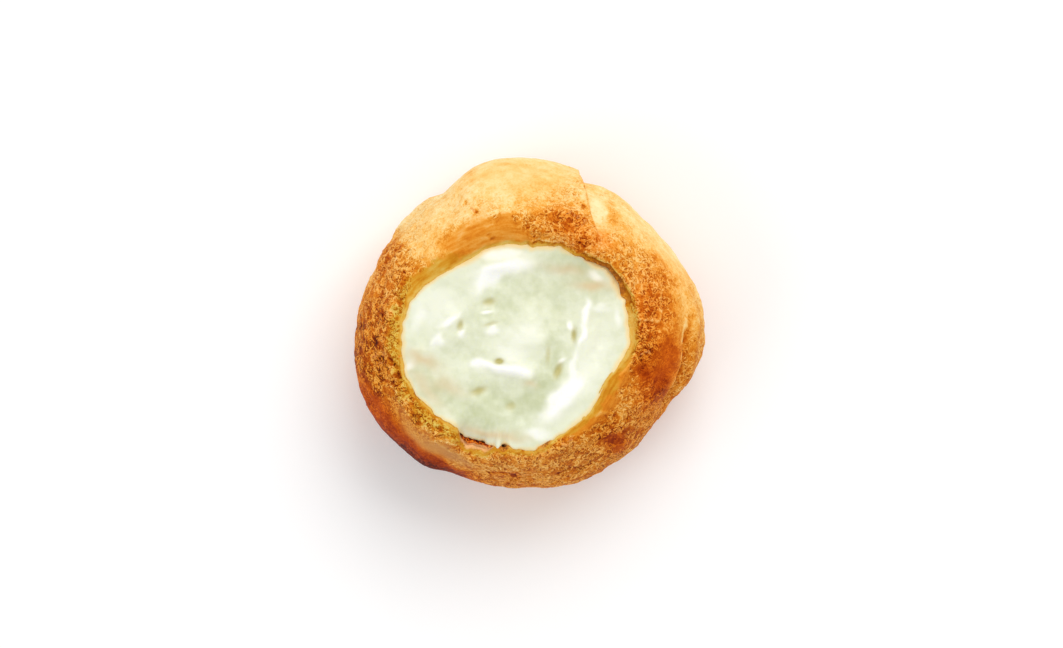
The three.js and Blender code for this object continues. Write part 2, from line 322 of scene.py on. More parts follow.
# Hollows where painted shade turns the cream darker and greener, more so where it swells least.
CREAM_HOLLOW_SHADE = (
    Oval(-2, 6.2, 7, 3.6, 12, 0.35),
    Oval(-6, 0.8, 5, 3, 0, 0.38),
    Oval(7.4, 13.2, 5, 2.2, -16, 0.6),
    Oval(13, 8.4, 4.6, 3.4, -40, 0.6),
    Oval(6.6, 6.2, 5, 2.8, 90, 0.2),
    Oval(5.3, -5, 6, 2, 92, 0.5),
    Oval(2.4, -13.6, 5, 2.8, 42, 0.7),
    Oval(5, -15.2, 4.4, 1.1, 50, 0.45),
    Oval(-0.5, -18.2, 4, 2.2, 0, 0.15),
    Oval(-8.4, -16.8, 8.5, 4, 0, 0.6),
    Oval(-12.5, -5.4, 5, 1.8, -10, 0.25),
    Oval(-20, -13, 6, 3.2, -38, 0.55),
    Oval(-9, -21, 7, 2.2, -12, 0.4),
)
# Where the cream is warmer, over the crust or stained by it.
CREAM_WARMTH = (
    Oval(7.6, 11.2, 4.4, 1.2, -8, 0.6),
    Oval(13.2, 8, 3.8, 1.1, 0, 0.85),
    Oval(-22.3, -7.4, 3.8, 1.4, -25, 0.75),
    Oval(-17, -13, 3.6, 1.6, -20, 0.5),
    Oval(0, -12.8, 1.4, 0.8, 0, 0.5),
    Oval(-13.6, 13.2, 3, 0.8, 25, 0.5),
    Oval(-5, -23.6, 4.6, 1, -8, 0.6),
    Oval(-10.5, -22.8, 4.5, 0.9, -14, 0.6),
    Oval(-4, 16.2, 4, 0.7, 0, 0.6),
    Oval(-21.8, -13.4, 6, 1.4, -50, 0.5),
)
CREAM_FINE = (Layer(3.2, 0.22, 51), Layer(1.5, 0.08, 52))
# How far the edges of its folds and stains wander in plan.
CREAM_DRIFT = (Layer(2.2, 0.5, 57),)

# Where the cream stands back from the crust and sinks, so that the inside shows in the gap, and a painted
# shadow darkens the crust's edge there.
GAPS = (Lobe(249, 11, 0.85, 6), Lobe(264.5, 2.4, 1), Lobe(38, 17, 0.7, 4), Lobe(287, 4, 0.8, 4))
GAP_SAGS = (Lobe(249, 11, 0.3, 6), Lobe(264.5, 2.4, 1), Lobe(38, 17, 0.35, 4), Lobe(287, 4, 0.5, 4))
CREAM_LAP, CREAM_LAP_BACK = 0.5, 0.45
CREAM_THICKNESS = 0.04
# A drip over the edge, and stretches where the cream reaches further over the crust or stops short of it.
CREAM_DRIP = Lobe(261, 1.2, 1.3)
CREAM_REACHES = (Lobe(249, 11, 0.35, 6), Lobe(37, 16, 0.3, 4), Lobe(276, 10, -0.2), Lobe(318, 34, 0.3, 4))
CREAM_WAVER = (Layer(2.8, 0.14, 55),)
CREAM_WAVER_GAP = (Layer(1, 0.55, 56),)
# The rounded bead along its edge.
CREAM_BEAD, CREAM_BEAD_REACH = 0.3, 0.6
# The width of the warm stain along its edge, and how that varies.
CREAM_STAIN, CREAM_STAIN_WAVER = 1.1, (Layer(3, 0.5, 58),)

# Loose crumbs: how many are tried over the whole puff, the share kept in each oval, and their half sizes.
CRUMB_TRIES = 4000
CRUMB_ZONES = (
    Oval(20.6, 7, 7, 1.8, 112, 0.6),
    Oval(8.6, 16.6, 7, 1.5, -22, 0.55),
    Oval(10, 23, 4.5, 3.4, 105, 0.34),
    Oval(-30, 0, 12, 3.6, 85, 0.3),
    Oval(-21.5, -19, 9, 2.2, -44, 0.45),
    Oval(-9, -27, 8, 1.5, -12, 0.4),
    Oval(5, -28, 9, 3, 5, 0.26),
    Oval(17.5, -21, 6, 3, 40, 0.28),
    Oval(25.5, 2, 10, 3.4, 90, 0.22),
    Oval(-24, 14, 6, 4, 50, 0.2),
)
CRUMB_SIZE, CRUMB_SPREAD = 0.16, 0.45
# How far up the dome they lie, the least and most of their size along, across and up, how much paler they are
# than the crust under them, the palest that they get, and how far they lean.
CRUMB_CLIMBS = (0.05, 0.995)
CRUMB_SHAPES = ((0.9, 0.6, 0.3), (1.5, 1, 0.6))
CRUMB_PALER, CRUMB_PALEST, CRUMB_LEAN = (-0.12, 0.26), 0.24, 0.25
# Larger flakes, each where it lies, with its half sizes, its turn, and how brown it is. Each is a clump of
# splinters.
FLAKES = (
    Oval(24.5, -6.1, 1.1, 0.5, 12, 0.56),
    Oval(7.6, -25.3, 1.1, 0.6, -20, 0.48),
    Oval(8.6, -24.4, 0.7, 0.4, 30, 0.52),
    Oval(-35.2, 3, 0.8, 0.5, 80, 0.54),
    Oval(-32.6, -6.9, 0.9, 0.4, 40, 0.54),
    Oval(-31.4, -8.6, 0.8, 0.4, -20, 0.52),
    Oval(-30.6, -6.4, 0.7, 0.4, 60, 0.56),
    Oval(-11.6, 23.6, 0.7, 0.3, -50, 0.3),
    Oval(8, 22.4, 0.9, 0.4, 20, 0.44),
    Oval(9.6, 21.6, 1, 0.3, -30, 0.48),
    Oval(11, 20.2, 0.8, 0.3, 60, 0.46),
    Oval(9, 16.9, 1, 0.4, -10, 0.42),
    Oval(6.2, 17, 0.8, 0.3, 30, 0.44),
)
SPLINTERS, SPLINTER_THICKNESS = 11, 0.18
# The shape of a crumb or splinter: its rows and columns, and the dents in it.
LUMP_RINGS, LUMP_COLUMNS, LUMP_DENTS = 4, 7, (Layer(0.7, 0.65, 81),)

# How finely each visible surface is divided.
CRUST_COLUMNS = 800
CRUST_ROWS = {"foot": 2, "flank": 26, "dome": 84, "edge": 4, "throat": 5, "inside": 3}
CREAM_COLUMNS = 460
CREAM_ROWS = {"floor": 2, "side": 14, "edge": 5, "top": 90}


# ---- The stage: where the camera stands in plan, its lens, the place that is lit, and the floor ----

CAMERA_PLAN = (0.43 * MM, -0.22 * MM)
LENS = 100.0
LIT_PLACE = (0, 0, 0.03)
FLOOR_HALF = 1.5


# ---- Helpers for shapes ----


def turn_between(start, end):
    """Degrees from one bearing to another, between -180 and 180."""
    return (end - start + 180) % 360 - 180


def lobe(one, bearing):
    """The lobe's swell times e to minus the power of the turn over its spread."""
    return one.swell * np.exp(-(np.abs(turn_between(one.bearing, bearing) / one.spread) ** one.power))


def lobed(radius, lobes, bearing):
    """A radius plus the sum of its lobes."""
    return radius + sum(lobe(one, bearing) for one in lobes)


def direction(bearing):
    """The unit vector in plan that points along each bearing."""
    angle = np.radians(bearing)
    return np.stack([np.cos(angle), np.sin(angle)], axis=-1)


def smoothstep(value, low, high):
    """0 below low and 1 above high, with a cubic ease between."""
    share = np.clip((value - low) / (high - low), 0, 1)
    return share * share * (3 - 2 * share)


def mix(start, end, share):
    """From start to end by a share."""
    return start + (end - start) * share


def lattice_value(i, j, k, seed):
    """A repeatable value from -1 to 1 for each corner of a cubic lattice, by integer hashing."""
    i, j, k = (part.astype(np.int64).astype(np.uint32) for part in (i, j, k))
    mixed = i * np.uint32(374761393) + j * np.uint32(668265263) + k * np.uint32(1440662683)
    mixed = mixed + np.array([seed * 461845907 & 0xFFFFFFFF], np.uint32)
    mixed = (mixed ^ (mixed >> np.uint32(13))) * np.uint32(1274126177)
    return (mixed ^ (mixed >> np.uint32(16))) / 0xFFFFFFFF * 2 - 1


def noise(points, size, seed):
    """Smooth noise from -1 to 1: the lattice's values, blended across each cell by a fifth-degree ease."""
    place = points / size
    cell = np.floor(place)
    part = place - cell
    ease = part**3 * (part * (6 * part - 15) + 10)
    total = 0
    for corner in np.ndindex(2, 2, 2):
        weight = np.prod(np.where(corner, ease, 1 - ease), axis=-1)
        total = total + weight * lattice_value(*np.moveaxis(cell + corner, -1, 0), seed)
    return total


def noise_sum(layers, points):
    """The sum of several layers of noise."""
    return sum(layer.height * noise(points, layer.size, layer.seed) for layer in layers)


def drift(layers, points):
    """Two independent sums of noise, as an offset in plan."""
    twins = [layer._replace(seed=layer.seed + 1) for layer in layers]
    return np.stack([noise_sum(layers, points), noise_sum(twins, points)], axis=-1)


def raised(plan, height):
    """Points with the given plan places and heights."""
    return np.concatenate([plan, np.broadcast_to(height, plan.shape[:-1])[..., None]], axis=-1)


def round_opening(bearing):
    """Points on a circle the size of the opening, for noise that runs round its edge."""
    return raised(direction(bearing) * OPENING_RADIUS, 0.0)


def oval_distance(one, plan):
    """Squared distance from an oval's centre, 1 on its outline."""
    offset = plan - np.array([one.x, one.y])
    along, across = offset @ direction(one.turn), offset @ direction(one.turn + 90)
    return (along / one.length) ** 2 + (across / one.width) ** 2


def oval_sum(ovals, plan, power=1.0):
    """The sum of the ovals, each its level times e to minus its squared distance, raised to a power."""
    return sum(one.level * np.exp(-(oval_distance(one, plan) ** power)) for one in ovals)


def line_distance(line, plan):
    """Distance in plan from the nearest segment of a line."""
    nearest = np.inf
    for start, end in zip(np.array(line[:-1]), np.array(line[1:])):
        run = end - start
        along = np.clip((plan - start) @ run / (run @ run), 0, 1)
        nearest = np.minimum(nearest, np.linalg.norm(plan - start - along[..., None] * run, axis=-1))
    return nearest


# ---- The crust ----


def opening_radius(bearing):
    """Radius of the opening from its own centre: a circle with lobes."""
    return lobed(OPENING_RADIUS, OPENING_LOBES, bearing)


def torn_radius(bearing):
    """The opening's radius, and the tear at the front besides."""
    return opening_radius(bearing) + lobe(TEAR, bearing)


def lip_bites(bearing):
    """How far small bites and flakes take the torn lip out or in: two layers of noise and the notches."""
    ragged = noise_sum(RAGGED_LIP, round_opening(bearing)) * lobed(1, RAGGEDNESS, bearing)
    return ragged + lobed(0, NOTCHES, bearing)


def smooth_crust(bearing, climb, lip_radius):
    """The bun before its lumps. Climb -1 to 0 goes up a quarter ellipse from the foot to the widest part.

    Climb 0 to 1 moves in plan from the widest outline to the torn lip and follows a superellipse dome,
    lowered near the lip by the fold, which deepens with the square of the way in.
    """
    bearing, climb = np.broadcast_arrays(np.asarray(bearing, float), np.asarray(climb, float))
    outward = direction(bearing)
    widest = lobed(BUN_RADIUS, BUN_LOBES, bearing)
    angle = np.minimum(climb, 0) * np.pi / 2
    reach = widest * mix(FOOT_SHARE, 1, np.cos(angle))
    flank = raised(outward * reach[..., None], EQUATOR * (1 + np.sin(angle)))

    inward = 1 - np.cos(np.maximum(climb, 0) * np.pi / 2)
    lip = OPENING_CENTRE + outward * (lip_radius(bearing) + EDGE_WIDTH)[..., None]
    edge = outward * widest[..., None]
    plan = mix(edge, lip, inward[..., None])
    share = np.minimum(np.linalg.norm(plan, axis=-1) / widest, 1)
    height = EQUATOR + DOME_RISE * (1 - share**DOME_FULLNESS) ** (1 / DOME_FULLNESS)
    from_lip = (1 - inward) * np.linalg.norm(lip - edge, axis=-1)
    folded = np.maximum(0, 1 - from_lip / lobed(FOLD_WIDTH, FOLD_WIDTH_LOBES, bearing)) ** 2
    dome = raised(plan, height - folded * lobed(FOLD_DEPTH, FOLD_DEPTH_LOBES, bearing))
    return np.where((climb < 0)[..., None], flank, dome)


def crust_normal(bearing, climb, lip_radius):
    """Outward unit normal of the smooth bun, from a small step along each of its two parameters."""
    step = 1e-3
    along = smooth_crust(bearing, np.minimum(climb + step, 1), lip_radius)
    along = along - smooth_crust(bearing, np.maximum(climb - step, -1), lip_radius)
    around = smooth_crust(bearing + 1, climb, lip_radius) - smooth_crust(bearing - 1, climb, lip_radius)
    normal = np.cross(around, along)
    return normal / np.linalg.norm(normal, axis=-1, keepdims=True)


def overlap_relief(points):
    """The step where the back lobe overlaps the right one, fading on both sides."""
    run = OVERLAP_TO - OVERLAP_FROM
    offset = points[..., :2] - OVERLAP_FROM
    side = (offset[..., 1] * run[0] - offset[..., 0] * run[1]) / np.linalg.norm(run)
    beyond = smoothstep(side, -OVERLAP_STEP / 2, OVERLAP_STEP / 2)
    lifted = OVERLAP_RAISE * np.exp(-((side / OVERLAP_RAISE_REACH) ** 2))
    sunk = OVERLAP_SINK * np.exp(-((side / OVERLAP_SINK_REACH) ** 2))
    present = (1 - smoothstep(offset @ run / (run @ run), 0.8, 1.5)) * smoothstep(points[..., 2], 6, 14)
    return present * (lifted * (1 - beyond) - sunk * beyond)


def crease_relief(bearing, height):
    """The groove under the right lobe and the bulge below it, both bell-shaped across and fading along."""
    turn = turn_between(CREASE_BEARING, bearing) / CREASE_SPREAD
    above = height - CREASE_HEIGHT - CREASE_CLIMB * turn + CREASE_DROOP * turn * turn
    groove = CREASE_DEPTH * np.exp(-((above / CREASE_HALF_WIDTH) ** 2))
    bulge = SKIRT_BULGE * np.exp(-(((above + SKIRT_BELOW) / SKIRT_REACH) ** 2))
    return np.exp(-(turn**4)) * (bulge - groove)


def furrow_depth(bearing, height):
    """How deep the furrows cut at each point."""
    total = 0
    for furrow in FURROWS:
        turn = turn_between(furrow.bearing, bearing) / furrow.spread
        middle = (furrow.low + furrow.high) / 2
        along = (height - middle) / (furrow.high - middle)
        total = total + furrow.depth * np.exp(-turn * turn - along**4)
    return total


def coarse_relief(bearing, points):
    """The lumps, overlap, crease and furrows that the solid has too."""
    height = points[..., 2]
    relief = noise_sum(LUMPS, points) + overlap_relief(points)
    return relief + crease_relief(bearing, height) - furrow_depth(bearing, height)


def lip_height(bearing):
    """Height of the solid's crust along its torn lip."""
    points = smooth_crust(bearing, 1.0, torn_radius)
    lift = coarse_relief(bearing, points) * crust_normal(bearing, 1.0, torn_radius)[..., 2]
    return points[..., 2] + lift


def inset(bearing, climb, depth):
    """A surface inside the bun, at one depth below its smooth crust."""
    return smooth_crust(bearing, climb, opening_radius) - depth * crust_normal(bearing, climb, opening_radius)


def locate(plan):
    """The bearing and climb of the crust over each place in plan.

    Between its widest outline and its lip, the crust's place in plan is a ring whose centre moves towards the
    opening's. The share of the way in is found by halving, by whether the place lies outside the ring.
    """
    low, high = np.zeros(plan.shape[:-1]), np.ones(plan.shape[:-1])
    for _ in range(24):
        share = (low + high) / 2
        offset = plan - OPENING_CENTRE * share[..., None]
        bearing = np.degrees(np.arctan2(offset[..., 1], offset[..., 0])) % 360
        lip = torn_radius(bearing) + EDGE_WIDTH
        ring = lobed(BUN_RADIUS, BUN_LOBES, bearing) * (1 - share) + lip * share
        outside = np.linalg.norm(offset, axis=-1) > ring
        low, high = np.where(outside, low, share), np.where(outside, share, high)
    return bearing, np.arccos(1 - share) * 2 / np.pi


# ---- Where the crust is baked darker, painted with light and shade, crackled or smooth ----

# Heights between which the flank's even finish gives way to the zones, its blotches fade out, and the borders
# of the zones stop wandering so far.
SEEN_HEIGHTS, FLANK_HEIGHTS, DRIFT_HEIGHTS = (3, 13), (14, 24), (5, 18)

# Browning: 0 is pale dough, 0.5 golden brown, 1 scorched. Later ovals lie over earlier ones. Besides
# browning, the ovals hold painted light at the back, towards the light, and painted shade at the front left.
# The foot is browner, and the furrows are paler.
BROWNING_START, FOOT_BROWNING, FURROW_PALING = 0.56, 0.2, 0.2
BROWNING_AND_LIGHT = (
    Oval(-2, 31, 18, 10, 0, 0.21, 0.97),
    Oval(-9.5, 24, 9, 3, 22, 0.18, 0.9),
    Oval(-12.5, 27.5, 7, 4, 35, 0.2),
    Oval(2, 25.5, 7, 2, 0, 0.22, 0.9),
    Oval(8.5, 27.5, 4, 2.6, -60, 0.25),
    Oval(-21.5, 23, 10, 6, 42, 0.13, 0.95),
    Oval(-16.8, 16.4, 7, 2.6, 36, 0.4),
    Oval(-22.5, 15, 5, 3.4, 50, 0.2),
    Oval(-25.6, 9.6, 4.4, 2.8, 60, 0.53),
    Oval(-29, 15.6, 3.8, 2.6, 55, 0.6),
    Oval(-31, 8.6, 5, 3, 75, 0.57),
    Oval(10.2, 24.6, 3.6, 2.2, 105, 0.17),
    Oval(25, 21.5, 19, 5.6, -50, 0.19, 0.97),
    Oval(35, 4, 8, 3, -82, 0.3),
    Oval(19.6, 18.4, 5.5, 3.2, -35, 0.22),
    Oval(17.5, 15.4, 4, 2, -40, 0.32),
    Oval(23.4, 12.4, 7, 3.4, -52, 0.46),
    Oval(32.6, 4, 8, 2.6, -78, 0.3),
    Oval(20.4, 10.4, 5, 2.4, -52, 0.48),
    Oval(12.6, 15.6, 4.6, 2.2, -35, 0.42),
    Oval(27.5, 5, 5, 3, -60, 0.52),
    Oval(25, 8, 2.6, 2, 0, 0.36),
    Oval(25, 0, 6.5, 3.6, 90, 0.62),
    Oval(31.2, -3, 6, 2.4, 90, 0.5),
    Oval(24.2, -6.2, 4.2, 2.8, 90, 0.74),
    Oval(29, -7.2, 5, 2.1, 86, 0.66, 0.95),
    Oval(27.2, -14.2, 4.6, 2.8, 72, 0.74, 0.95),
    Oval(26.8, -14.8, 3.2, 1.4, 78, 0.8),
    Oval(24, -10.3, 2.4, 1.4, 92, 0.88, 0.97),
    Oval(35.6, -4.6, 6, 1.8, 84, 0.46),
    Oval(33, -11.6, 5, 1.5, 62, 0.54),
    Oval(20.8, -13.6, 5, 2.2, 64, 0.52),
    Oval(14.6, -17.2, 9, 1.8, 52, 0.51),
    Oval(18, -24.2, 6, 3, 25, 0.73, 0.9),
    Oval(17.6, -25, 2.3, 1.3, 10, 0.86, 0.95),
    Oval(25.8, -21.6, 6, 2, 52, 0.6),
    Oval(10, -30, 9, 4, 12, 0.56),
    Oval(-6, -30, 9, 3.2, -8, 0.46),
    Oval(-21.5, -19.8, 8, 2.8, -44, 0.71),
    Oval(-31, -14, 7, 3.4, -62, 0.7, 0.9),
    Oval(-33, -5, 9, 3.4, 86, 0.72),
    Oval(-37.4, -7.5, 6, 1.4, 78, 0.86),
    Oval(-29.2, -9.2, 3, 1.6, 100, 0.6),
    Oval(-33, 3.2, 4, 3, 80, 0.62),
    Oval(-28.4, -1, 7, 1.6, 86, 0.54),
    Oval(-26.2, -20, 4.6, 1.8, -52, 0.63),
    Oval(-19.6, -25.4, 7, 1.8, -38, 0.53, 0.95),
    Oval(14.8, 24, 5.6, 2.2, 104, 0.06, 1),
    Oval(17.6, 22.4, 2.4, 1, 96, 0.4, 0.95),
    Oval(15.8, 19.4, 2.4, 1.6, 0, 0.34),
)
# The slope from the crest of the back lobe to the cream faces away from the light, so its browning is
# partly painted shade: its level at the lip, left and right, and its gain for each millimetre on the way
# up, darker towards the crest.
SLOPE_BROWNING_AND_SHADE, SLOPE_BROWNING_AND_SHADE_RIGHT, SLOPE_SHADE_GAIN = 0.43, 0.47, 0.012
# The scorched edge at the front left, partly browning and partly painted shade on the flank turned from
# the light: where it is, its level at the widest outline and where it fades out, and how far in that is.
SCORCH_AND_SHADE = Lobe(223, 27, 1, 8)
SCORCH_AND_SHADE_LEVEL, SCORCH_AND_SHADE_LEVEL_LOBES, SCORCH_AND_SHADE_INNER_LEVEL = 0.74, (Lobe(234, 20, 0.28, 4),), 0.67
SCORCH_AND_SHADE_DEPTH, SCORCH_AND_SHADE_DEPTH_LOBES = 1.1, (Lobe(219, 22, 4, 4),)
# At the back, facing the light, painted light pales the crust again towards its widest outline.
OUTLINE_PAINTED_LIGHT, OUTLINE_PAINTED_LIGHT_DEPTH = Lobe(75, 95, 0.14, 4), 1.7

# Where the browning is redder than golden.
REDNESS = (
    Oval(26.6, -12.8, 7, 3.8, 74, 0.75),
    Oval(18, -25, 3, 2, 20, 0.75),
    Oval(24, -10.3, 2.6, 1.6, 92, 0.4),
    Oval(9, 19.5, 6, 3.5, -20, 0.45),
    Oval(25, 4, 8, 5, 80, 0.5),
    Oval(15, 17.2, 3, 2, -30, 0.5),
    Oval(29.4, -7, 6, 2.6, 84, 0.5),
    Oval(-31, 9, 9, 3.5, 80, 0.25),
    Oval(-3.1, -32.5, 1.6, 1.4, 0, 0.6),
)

# Where it is tan, which along the smooth band at the front left is a painted sheen.
TAN_AND_SHEEN = (
    Oval(-25.6, -20.6, 5, 1.4, -54, 0.28),
    Oval(-18.4, -26.4, 7, 1.6, -36, 0.75),
    Oval(0, -29, 16, 3, 3, 0.12),
)

# Crackle: 0 is smooth skin, 1 a fine rough net all over. Torn skin and the scorched edge, partly
# painted shade, lose a share of it.
CRACKLE_START, SKIN_SMOOTHING, SCORCH_AND_SHADE_SMOOTHING = 0.7, 0.85, 0.55
CRACKLE = (
    Oval(-2, 32, 17, 8, 0, 0.08, 0.95),
    Oval(10, 25, 4.6, 3, 105, 0.7),
    Oval(-12.5, 24.4, 4, 2.4, 20, 0.45),
    Oval(-20, 21.5, 8, 4, 42, 0.35),
    Oval(27.5, 18, 14, 5, -54, 0.18),
    Oval(14.8, 24, 5.6, 2.4, 104, 0.2, 1),
    Oval(33, 2, 9, 3, -80, 0.25),
    Oval(28.4, -8, 9, 3.6, 82, 0.12, 0.9),
    Oval(24, -10.4, 2.6, 1.5, 92, 0.15, 0.95),
    Oval(20, 21, 6, 3.6, -50, 0.3),
    Oval(-22, -24.8, 11, 2.6, -42, 0.22, 0.97),
    Oval(-29, 2, 16, 4.6, 80, 1),
    Oval(-23, -18.4, 9, 2.6, -46, 1),
    Oval(2, -29.5, 16, 4, 4, 0.95),
    Oval(18, -22.6, 8, 4, 40, 0.8),
    Oval(18, -25, 2.6, 1.4, 15, 0.2, 0.95),
    Oval(23, 6, 12, 4, 98, 0.85),
    Oval(-18, 16.6, 7, 2.6, 36, 0.25),
)
# Width of the smooth torn skin between the crust and the cream, of the film that the cream leaves beside it,
# and of the olive tint beyond the film; and how much closer the skin's wrinkles lie than they are long.
SKIN_WIDTH, WRINKLE_STRETCH = 0.1, 6
SKIN_LOBES = (Lobe(106, 22, 6.4, 6), Lobe(327, 25, 3.6, 6), Lobe(142, 14, 3, 4))
FILM_WIDTH, FILM_START, FILM_LEVEL = 1.1, 0.4, 0.22
FILM_LOBES = (
    Lobe(325, 26, -0.3, 4),
    Lobe(146, 18, -0.3, 4),
    Lobe(76, 18, -0.6, 4),
    Lobe(38, 19, -1.1, 4),
    Lobe(184, 10, -0.3, 4),
    Lobe(216, 22, -0.6, 4),
    Lobe(249, 12, -1, 6),
    Lobe(270, 14, -0.7, 4),
    Lobe(288, 6, -0.4, 4),
)
OLIVE_WIDTH, OLIVE_PALING = 0.5, 0.1
OLIVE_LOBES = (
    Lobe(142, 18, 2.4, 4),
    Lobe(176, 22, 2.4, 4),
    Lobe(218, 20, 2.4, 4),
    Lobe(346, 20, 1.2, 4),
    Lobe(28, 22, 1.4, 4),
    Lobe(320, 20, 0.9, 4),
)

# How far the borders of the zones wander in plan, and how much further down the flank, where they would
# otherwise run straight down; how far seams and pits do; and how far the net of threads is warped.
ZONE_DRIFT = (Layer(4.5, 0.9, 61), Layer(1.4, 0.35, 63))
FLANK_DRIFT = (Layer(9, 6, 93),)
SEAM_DRIFT = (Layer(1.6, 0.25, 65), Layer(0.7, 0.16, 87))
NET_DRIFT, NET_LIFT = (Layer(2.4, 0.5, 72),), (Layer(2.4, 0.5, 74),)
# How far the scorched edge, partly painted shade, wanders inwards, and round the flank in degrees.
SCORCH_AND_SHADE_WAVER, SCORCH_AND_SHADE_TURN = (Layer(5, 0.6, 71),), (Layer(9, 11, 90),)
# How far the edge of the slope wanders, and by what share the widths of skin, film and olive tint vary.
CREST_WAVER = (Layer(2, 0.35, 67),)
SKIN_WAVER = (Layer(2.4, 0.4, 68),)
FILM_WAVER = (Layer(1.3, 0.5, 77),)
OLIVE_WAVER = (Layer(1.8, 0.5, 84), Layer(0.8, 0.4, 85))
# Blotches of browning: all over, where the crust is crackled, and on the flank; and the flank's own crackle.
BLOTCHES = (Layer(7, 0.05, 69), Layer(3.2, 0.04, 70))
CRACKLE_BLOTCHES = (Layer(1.2, 0.11, 86),)
FLANK_BLOTCHES = (Layer(10, 0.14, 88), Layer(4.5, 0.07, 89))
FLANK_CRACKLE = (Layer(9, 0.3, 91),)
# How the pale lip of the tear, the painted shadow along the edges of the gaps and the painted shade of the
# torn crumb below break up.
PALE_LIP_BREAKS, EDGE_SHADOW_BREAKS = (Layer(0.9, 0.3, 83),), (Layer(0.6, 0.8, 92),)
THROAT_BREAKS = (Layer(0.8, 1, 80),)
# The levels of finish that the crust's material reads at each point.
CHOUX_LEVELS = ("bake_and_shade", "crackle", "thread", "skin", "film", "olive", "crumb", "red", "tan")
# And those that the cream's material reads.
CREAM_LEVELS = ("fold_highlight", "hollow_shade", "dimple_shade", "warm", "edge")


def zone_level(ovals, plan, start):
    """Starts from one level and, oval by oval, moves towards the oval's level inside it."""
    level = start
    for one in ovals:
        inside = np.exp(-(oval_distance(one, plan) ** 1.6))
        level = mix(level, one.level, one.strength * inside)
    return level


